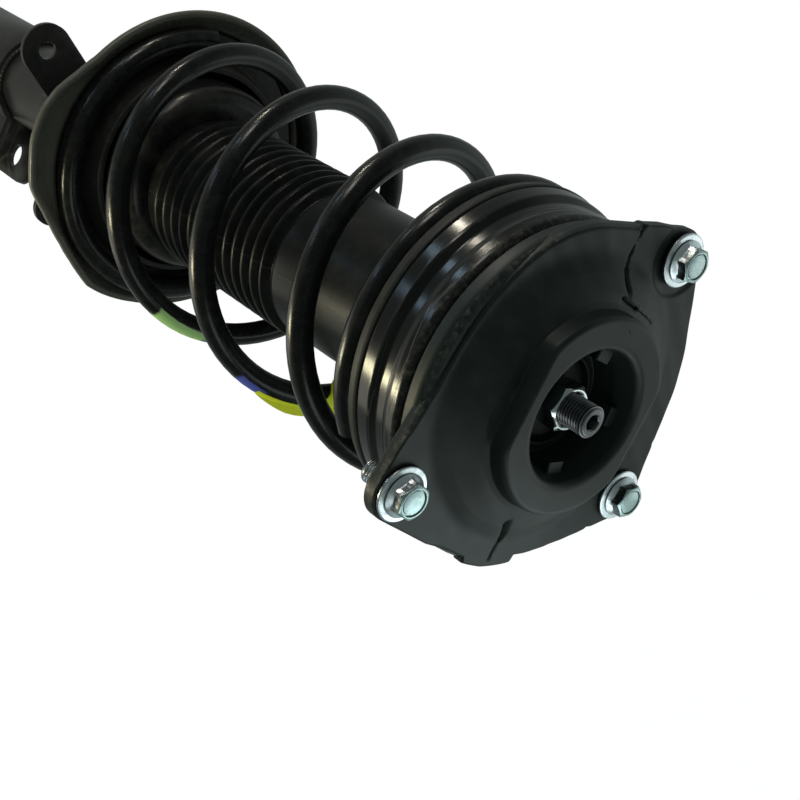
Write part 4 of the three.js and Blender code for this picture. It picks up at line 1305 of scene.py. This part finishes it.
class STRUT_OT_dust_boot(bpy.types.Operator):
    """Builds the dust boot: a smooth barrel above a run of bellows and a cuff"""

    bl_idname = "strut.dust_boot"
    bl_label = "Dust boot"

    def execute(self, context):
        sizes = context.scene.strut_boot
        barrel, crest, root = sizes.barrel / MM, sizes.crest / MM, sizes.root / MM
        wall = 2.0
        top, bottom = high("dust_boot"), low("dust_boot")
        bellows_top, bellows_bottom = -150.0, -252.7
        pitch = (bellows_top - bellows_bottom) / sizes.folds
        outer, inner = [], []
        for k in range(sizes.folds):
            z = bellows_bottom + pitch * k
            outer += [(root, z, 0.7), (crest, z + pitch / 2, 1.9)]
            inner += [(root - wall, z, 0.7), (crest - wall, z + pitch / 2, 1.2)]
        corners = [
            (37, bottom, 0.6), (37, bellows_bottom - 1.5, 1.0), *outer, (root, bellows_top, 0.7),
            (barrel, bellows_top + 2.2, 1.2), (barrel, top, 0.6), (33.4, top, 0.4), (33.4, top - 13.7, 0.6),
            (barrel - wall, top - 17.7, 1.0), (root - wall, bellows_top, 0.7), *reversed(inner),
            (34, bottom, 0.5),
        ]
        obj = spun("boot", corners, "Boot plastic", None, ["dust_boot"], "boot_plastic", 3, angle=50)
        heights = read_floats(obj.data.vertices, "co", 3)[2::3] / MM
        set_follow(obj, np.clip((bellows_top - heights) / (bellows_top - bellows_bottom), 0, 1))
        return {"FINISHED"}


# ---- damper


class STRUT_OT_damper(bpy.types.Operator):
    """Builds the damper tube, its cap, the bump stop and the stop's cup"""

    bl_idname = "strut.damper"
    bl_label = "Damper"

    def execute(self, context):
        foot, top = ends("outer_tube")
        corners = [
            (0, foot, 0), (19, foot, 1.5), (20.5, foot + 1.2, 1.5), (26, foot + 6.5, 3), (26, top, 0.4),
            (23.7, top, 0.3), (23.7, foot + 8, 2), (18, foot + 3, 1), (0, foot + 3, 0),
        ]
        spun("damper_tube", corners, "Damper black", "strut_tube", ["outer_tube"], "black_steel")
        bead("damper_tube_weld", 25.2, foot + 5.6, size=1.2)

        foot, top = ends("tube_cap")
        corners = [
            (28.8, foot, 0.4), (28.8, top, 2.2), (15, top, 1), (14.2, top - 0.6, 0.6), (12, top - 0.6, 0.4),
            (12, top - 2.5, 0), (26.3, top - 2.5, 0.6), (26.3, foot, 0.2),
        ]
        spun("damper_cap", corners, "Damper black", "strut_tube", ["tube_cap"], "black_steel")

        foot, top = ends("bump_stop_cup")
        corners = [
            (27, foot, 0.5), (27, top, 2), (7.3, top, 0.2), (7.3, top - 2, 0.2), (25, top - 2, 1),
            (25, foot, 0.5),
        ]
        spun("stop_cup", corners, "Damper black", "top_mount", ["bump_stop_cup"], "black_steel")

        foot, top = ends("bump_stop")
        height = top - foot
        corners = [
            (16, foot, 2), (20, foot + 0.12 * height, 4), (16.5, foot + 0.25 * height, 2),
            (23, foot + 0.37 * height, 5), (19.5, foot + 0.52 * height, 2), (24, foot + 0.66 * height, 4),
            (24, top, 1.5), (11.3, top, 0.5), (11.3, foot, 0.8),
        ]
        owner = ("top_mount", ["bump_stop"], "urethane")
        spun("bump_stop_foam", corners, "Foamed urethane", *owner, 5, 72, 50)
        return {"FINISHED"}


# ---- lower spring seat

# How far the pan's edge lies outside its circle, by direction in degrees.
PAN_REACH = (
    (0, 0), (66, 0), (75, 2.5), (83, 6.7), (90, 8.8), (100, 9.2), (108, 7.6), (116, 6.7), (120, 4.4),
    (125, 1.5), (132, -0.9), (140, -2.3), (149, -2.3), (156, -1.3), (162, 0), (168, -0.7), (176, -1.9),
    (184, -3), (196, -3.5), (210, -3.5), (240, 0), (360, 0),
)


class STRUT_OT_lower_seat(bpy.types.Operator):
    """Builds the dished lower spring seat with its rolled rim, hub and drain hole, and its rubber pad"""

    bl_idname = "strut.lower_seat"
    bl_label = "Lower spring seat"

    def execute(self, context):
        top = high("lower_spring_seat")
        floor = low("lower_spring_seat") + 3
        drain_angle, drain_circle, drain = math.radians(132), 70, 3.0
        x, y = drain_circle * math.cos(drain_angle), drain_circle * math.sin(drain_angle)
        section = [(0, floor - 8), (drain, floor - 8), (drain, floor + 8), (0, floor + 8)]
        drill = turned(section, 32, (SPRING_SHIFT + x, y))

        obj = carved(solid("lower_seat_dish", self.dish(top, floor), 30), [solid("drill", drill)])
        shade(obj, 30)
        finish(obj, "Lower seat enamel", "strut_tube", ["lower_spring_seat"])
        hub = [(26.3, top - 14, 0.4), (29.3, top - 14, 0.8), (29.3, top, 1.2), (26.3, top, 0.8)]
        spun("lower_seat_hub", hub, "Lower seat enamel", "strut_tube", (), "black_steel", 3)
        bead("lower_seat_weld", 27.2, top - 14.4, size=1.5)

        foot, top = ends("lower_insulator")
        pad = [
            (71.9, foot, 0.6), (71.9, foot + 3, 1.0), (60.2, foot + 3, 1.5), (56.3, top, 1.2),
            (53.3, top, 0.8), (53.3, foot, 0.6),
        ]
        obj = solid("lower_seat_pad", turned(rounded(pad, 4), 144, SPRING_AXIS), 30)
        shade(carved(obj, [solid("drill", drill)]), 30)
        finish(obj, "Seat rubber", "strut_tube", ["lower_insulator"])
        return {"FINISHED"}

    def dish(self, top, floor):
        """The pressed pan: its bore lies on the rod's axis, the rest on the spring's."""
        facets, rim, bore = 200, -287.0, 28
        angles = circle(facets)
        reach = np.interp(np.degrees(angles), *zip(*PAN_REACH))
        clearance = -SPRING_SHIFT * np.cos(angles) + np.sqrt(28.3**2 - (SPRING_SHIFT * np.sin(angles)) ** 2)
        corners = [
            (47, floor - 3, 2), (73.5, floor - 3, 5), (80.4, rim - 5, 3), (81.8, rim - 4.4, 1),
            (83.4, rim - 2.8, 1.2), (83.0, rim, 1.3), (80.2, rim - 0.5, 2.4), (75.5, rim - 5.6, 6),
            (72.3, rim - 7.1, 2), (72.3, floor, 0.3), (53, floor, 3), (50, floor + 4, 3), (50, top, 8),
            (bore, top, 0), (bore, top - 3, 0), (47, top - 3, 5),
        ]
        rows = []
        for radius, height in rounded(corners, 5):
            outer = radius + reach * min(1, max(0, (radius - 72.4) / 6))
            rows.append((clearance if abs(radius - bore) < 1e-6 else outer, height))
        return loft(stacked(rows, facets, SPRING_AXIS))


# ---- brackets


class STRUT_OT_brackets(bpy.types.Operator):
    """Builds the knuckle bracket, the link bracket and the hose bracket with their welds"""

    bl_idname = "strut.brackets"
    bl_label = "Brackets"

    def execute(self, context):
        self.knuckle_bracket()
        self.tab("link_tab", "link_bracket", -392.0, 60, 24, 30, 5.2)
        self.tab("hose_tab", "hose_bracket", -345.0, 150, 32, 22, 4)
        return {"FINISHED"}

    def knuckle_bracket(self):
        foot, top = ends("knuckle_bracket")
        reach = -low("knuckle_bracket", 0)
        inner, outer, outside, inside = 26.3, 30.5, 16.2, 12
        bend_out, bend_in = math.pi - math.asin(outside / outer), math.pi - math.asin(inside / inner)
        section = [
            (-reach, -outside), (-reach, -inside), *reversed(arc_points(inner, bend_in, -bend_in, 60)),
            (-reach, inside), (-reach, outside), *arc_points(outer, bend_out, -bend_out, 60),
        ]
        obj = solid("knuckle_clamp", prism(section, foot, top))
        side = [
            (-reach, foot, 9), (-20, foot, 6), (-8, foot + 7, 6), (40, foot + 7, 0), (40, top - 7, 0),
            (-8, top - 7, 6), (-20, top, 6), (-reach, top, 9),
        ]
        carved(obj, [solid("trim", prism(rounded(side, 6), -60, 60, "Y"))], "INTERSECT")
        centre, hole_x = (foot + top) / 2, -reach + 14
        holes = [arc_points(7.2, 0, TAU, 40, (hole_x, centre + s * 28))[:-1] for s in (-1, 1)]
        carved(obj, [solid("drill", prism(hole, -60, 60, "Y")) for hole in holes])
        bevelled(obj, 0.7)
        blackened(obj, ["knuckle_bracket"])
        rib = rounded([(-5, -17, 5), (5, -17, 5), (5, 17, 5), (-5, 17, 5)], 6)
        outline = [(hole_x + 17 + a, centre + b) for a, b in rib]
        for name, y0, y1 in (("knuckle_rib_left", 15.4, 16.9), ("knuckle_rib_right", -16.9, -15.4)):
            piece = bevelled(solid(name, prism(outline, y0, y1, "Y")), 0.6)
            blackened(piece)
        bead("knuckle_weld_1", 27.0, top - 6.2, (-2.2, 2.2), 1.7)
        bead("knuckle_weld_2", 27.0, foot + 6.2, (-2.2, 2.2), 1.7)

    def tab(self, name, node, height, angle, reach, width, hole):
        """A flat tab with an eye, on a saddle that hugs the tube."""
        start, half, span = 25.5, width / 2, math.asin(width / 2 / 29)
        eye = (26 + reach, 0)
        outline = [(start, -half), *arc_points(half, -math.pi / 2, math.pi / 2, 24, eye), (start, half)]
        saddle = [*arc_points(29, -span, span, 20), *reversed(arc_points(26.3, -span, span, 20))]
        obj = solid(name, prism(outline, -1.5, 1.5))
        carved(obj, [solid("saddle", prism(saddle, -9, 1.5))], "UNION")
        drill = solid("drill", prism(arc_points(hole, 0, TAU, 32, eye)[:-1], -10, 10))
        core = solid("core", turned([(0, -20), (26.3, -20), (26.3, 20), (0, 20)], 96))
        bevelled(carved(obj, [drill, core]), 0.5)
        turn = math.radians(angle)
        obj.data.transform(Matrix.Translation((0, 0, height * MM)) @ Matrix.Rotation(turn, 4, "Z"))
        blackened(obj, [node])
        bead(f"{name}_weld", 27.4, height - 9.2, (turn - span * 0.9, turn + span * 0.9), 1.3)


# ---- parts inside

# Finishes of the CAD parts that keep their own shape.
INNER_FINISHES = {
    "mount_plate": "Damper black",
    "bearing_upper_race": "Bearing plastic",
    "bearing_lower_race": "Bearing plastic",
    "bearing_cage": "Bearing plastic",
    "rebound_stop": "Foamed urethane",
    "piston": "Ground steel",
    "piston_ring": "Bearing plastic",
    "piston_nut": "Zinc plate",
    "oil_seal": "Moulded rubber",
    "rod_guide": "Ground steel",
    "inner_tube": "Ground steel",
    "base_valve": "Ground steel",
}


class STRUT_OT_inner_parts(bpy.types.Operator):
    """Gives every CAD part that keeps its own shape the finish of its material"""

    bl_idname = "strut.inner_parts"
    bl_label = "Parts inside"

    def execute(self, context):
        for name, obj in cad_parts.items():
            if obj.hide_render:
                continue
            for holder in obj.material_slots:
                holder.material = material(INNER_FINISHES[name])
        return {"FINISHED"}


# ---- stage

# Name, place, aim, width and height, watts or the name of the stage's property, colour.
LAMPS = (
    ("key", (0.15, -0.8, 0.5), (0, 0.03, -0.06), (0.5, 0.5), "key", (1.0, 0.99, 0.97)),
    ("left_glow", (-0.12, -0.11, 0.12), (-0.04, 0.05, 0), (0.12, 0.12), 0.1, (0.88, 1.0, 0.99)),
    ("left_soft", (-0.36, 0.06, 0.36), (-0.02, 0.05, 0), (0.2, 0.2), 0.33, (0.88, 1.0, 0.98)),
    ("low_fill", (-0.22, 0.2, -0.4), (0, 0.03, -0.12), (0.24, 0.24), "fill", (1.0, 0.95, 0.82)),
    ("low_spark", (-0.26, 0.32, -0.34), (0, 0.06, -0.1), (0.06, 0.12), 1.2, (1.0, 0.93, 0.6)),
    ("side_spark", (0.42, 0.22, -0.33), (0.04, 0.05, -0.06), (0.03, 0.03), 0.55, (1.0, 0.93, 0.78)),
    ("side_soft", (0.46, 0.36, -0.12), (0.03, 0.04, -0.04), (0.08, 0.16), 0.7, (1.0, 0.96, 0.88)),
    ("blue_left", (0.092, 0.413, -0.3), (0.013, 0.072, -0.016), (0.045, 0.03), 0.07, (0.55, 0.77, 1.0)),
    ("blue_right", (0.277, 0.336, -0.285), (0.033, 0.066, -0.02), (0.045, 0.03), 0.09, (0.58, 0.79, 1.0)),
    ("blue_strip", (0.1, 0.36, -0.48), (0.02, 0.06, -0.1), (0.02, 0.1), 0.05, (0.5, 0.7, 1.0)),
)
WHITE = (1.0, 1.0, 1.0, 1.0)


class STRUT_OT_stage(bpy.types.Operator):
    """Builds the pale floor, the soft lamps, the world and the camera"""

    bl_idname = "strut.stage"
    bl_label = "Stage"

    def execute(self, context):
        stage = context.scene.strut_stage
        self.floor(stage)
        self.world(context.scene, stage)
        for lamp in LAMPS:
            self.lamp(stage, *lamp)
        self.camera(context.scene)
        return {"FINISHED"}

    def floor(self, stage):
        height = low("outer_tube") - 2.5
        disc = [(x * MM, y * MM, height * MM) for x, y in arc_points(4500, 0, TAU, 64)[:-1]]
        mesh = bpy.data.meshes.new("floor")
        mesh.from_pydata(disc, [], [list(range(len(disc)))])
        made, w = new_material("Pale floor")
        path = w.light_path()
        mirrored = path["Is Glossy Ray"] * 0.09
        seen = w.most(path["Is Camera Ray"], w.most(mirrored, path["Is Transmission Ray"]))
        grain = w.noise(w.coords(), 30.0, 4)
        pale = w.mix(grain * 0.02, tint(*stage.floor), tint(0.5, 0.5, 0.5))
        matt = w.add("ShaderNodeBsdfDiffuse", {"Color": pale})
        glow = w.add("ShaderNodeEmission", {"Color": WHITE, "Strength": 1.1})
        both = w.add("ShaderNodeMixShader", {0: seen * 0.88, 1: matt, 2: glow})
        w.node("ShaderNodeOutputMaterial", {"Surface": both})
        mesh.materials.append(made)
        linked("floor", mesh)

    def world(self, scene, stage):
        """White to the camera, even to matt surfaces, and to mirrors a dim room that brightens towards -Y."""
        world = bpy.data.worlds.new("Studio")
        scene.world = world
        world.use_nodes = True
        world.node_tree.nodes.clear()
        w = Wiring(world.node_tree)
        path = w.light_path()
        side = w.dot(w.coords("Generated"), (0.1, -0.97, -0.12))
        dim = w.step(side, 0.1, 1.0, 0.12, 0.7)
        camera = w.most(path["Is Camera Ray"], path["Is Transmission Ray"])
        glossy = path["Is Glossy Ray"]
        level = (1.0 - glossy) * stage.ambient + glossy * dim
        sky = w.mix(camera, tint(0.84, 1.0, 0.96), WHITE)
        back = w.add("ShaderNodeBackground", {"Color": sky, "Strength": w.most(level, camera)})
        w.node("ShaderNodeOutputWorld", {"Surface": back})

    def lamp(self, stage, name, place, aim, size, power_now, shine):
        data = bpy.data.lights.new(name, "AREA")
        data.shape = "RECTANGLE"
        data.size, data.size_y = size
        data.energy = getattr(stage, power_now) if isinstance(power_now, str) else power_now
        data.color = shine
        lamp = linked(name, data)
        lamp.visible_camera = False
        lamp.location = place
        lamp.rotation_mode = "QUATERNION"
        lamp.rotation_quaternion = (Vector(aim) - Vector(place)).to_track_quat("-Z", "Y")

    def camera(self, scene):
        data = bpy.data.cameras.new("camera")
        data.lens, data.sensor_width = 63, 36
        data.clip_start, data.clip_end = 0.01, 30
        camera = linked("camera", data)
        right = Vector((0.43847, -0.64731, 0.62348)).normalized()
        up = Vector((0.88494, 0.18984, -0.42525))
        up = (up - up.dot(right) * right).normalized()
        turn = Matrix((right, up, right.cross(up))).transposed().to_4x4()
        camera.matrix_world = Matrix.Translation((0.06136, 0.45863, 0.33278)) @ turn
        scene.camera = camera
        scene.view_settings.view_transform = "Standard"


# ---- panel and registration

OPERATORS = (
    STRUT_OT_top_mount,
    STRUT_OT_mount_bolts,
    STRUT_OT_rod_fixings,
    STRUT_OT_bearing,
    STRUT_OT_upper_seat,
    STRUT_OT_coil_spring,
    STRUT_OT_dust_boot,
    STRUT_OT_damper,
    STRUT_OT_lower_seat,
    STRUT_OT_brackets,
    STRUT_OT_inner_parts,
    STRUT_OT_stage,
)


class STRUT_PT_panel(bpy.types.Panel):
    """Lists the strut's pieces and their sizes"""

    bl_idname = "STRUT_PT_panel"
    bl_label = "Strut assembly"
    bl_space_type = "VIEW_3D"
    bl_region_type = "UI"
    bl_category = "Strut"

    def draw(self, context):
        for operator in OPERATORS:
            self.layout.operator(operator.bl_idname)
        for name, kind in GROUPS.items():
            box = self.layout.box()
            for field in kind.__annotations__:
                box.prop(getattr(context.scene, name), field)


CLASSES = (*GROUPS.values(), *OPERATORS, STRUT_PT_panel)


def register():
    for kind in CLASSES:
        bpy.utils.register_class(kind)
    for name, kind in GROUPS.items():
        setattr(bpy.types.Scene, name, PointerProperty(type=kind))


def unregister():
    for name in GROUPS:
        delattr(bpy.types.Scene, name)
    for kind in reversed(CLASSES):
        bpy.utils.unregister_class(kind)


def main():
    register()
    for operator in OPERATORS:
        family, name = operator.bl_idname.split(".")
        getattr(getattr(bpy.ops, family), name)()


if __name__ == "__main__":
    main()
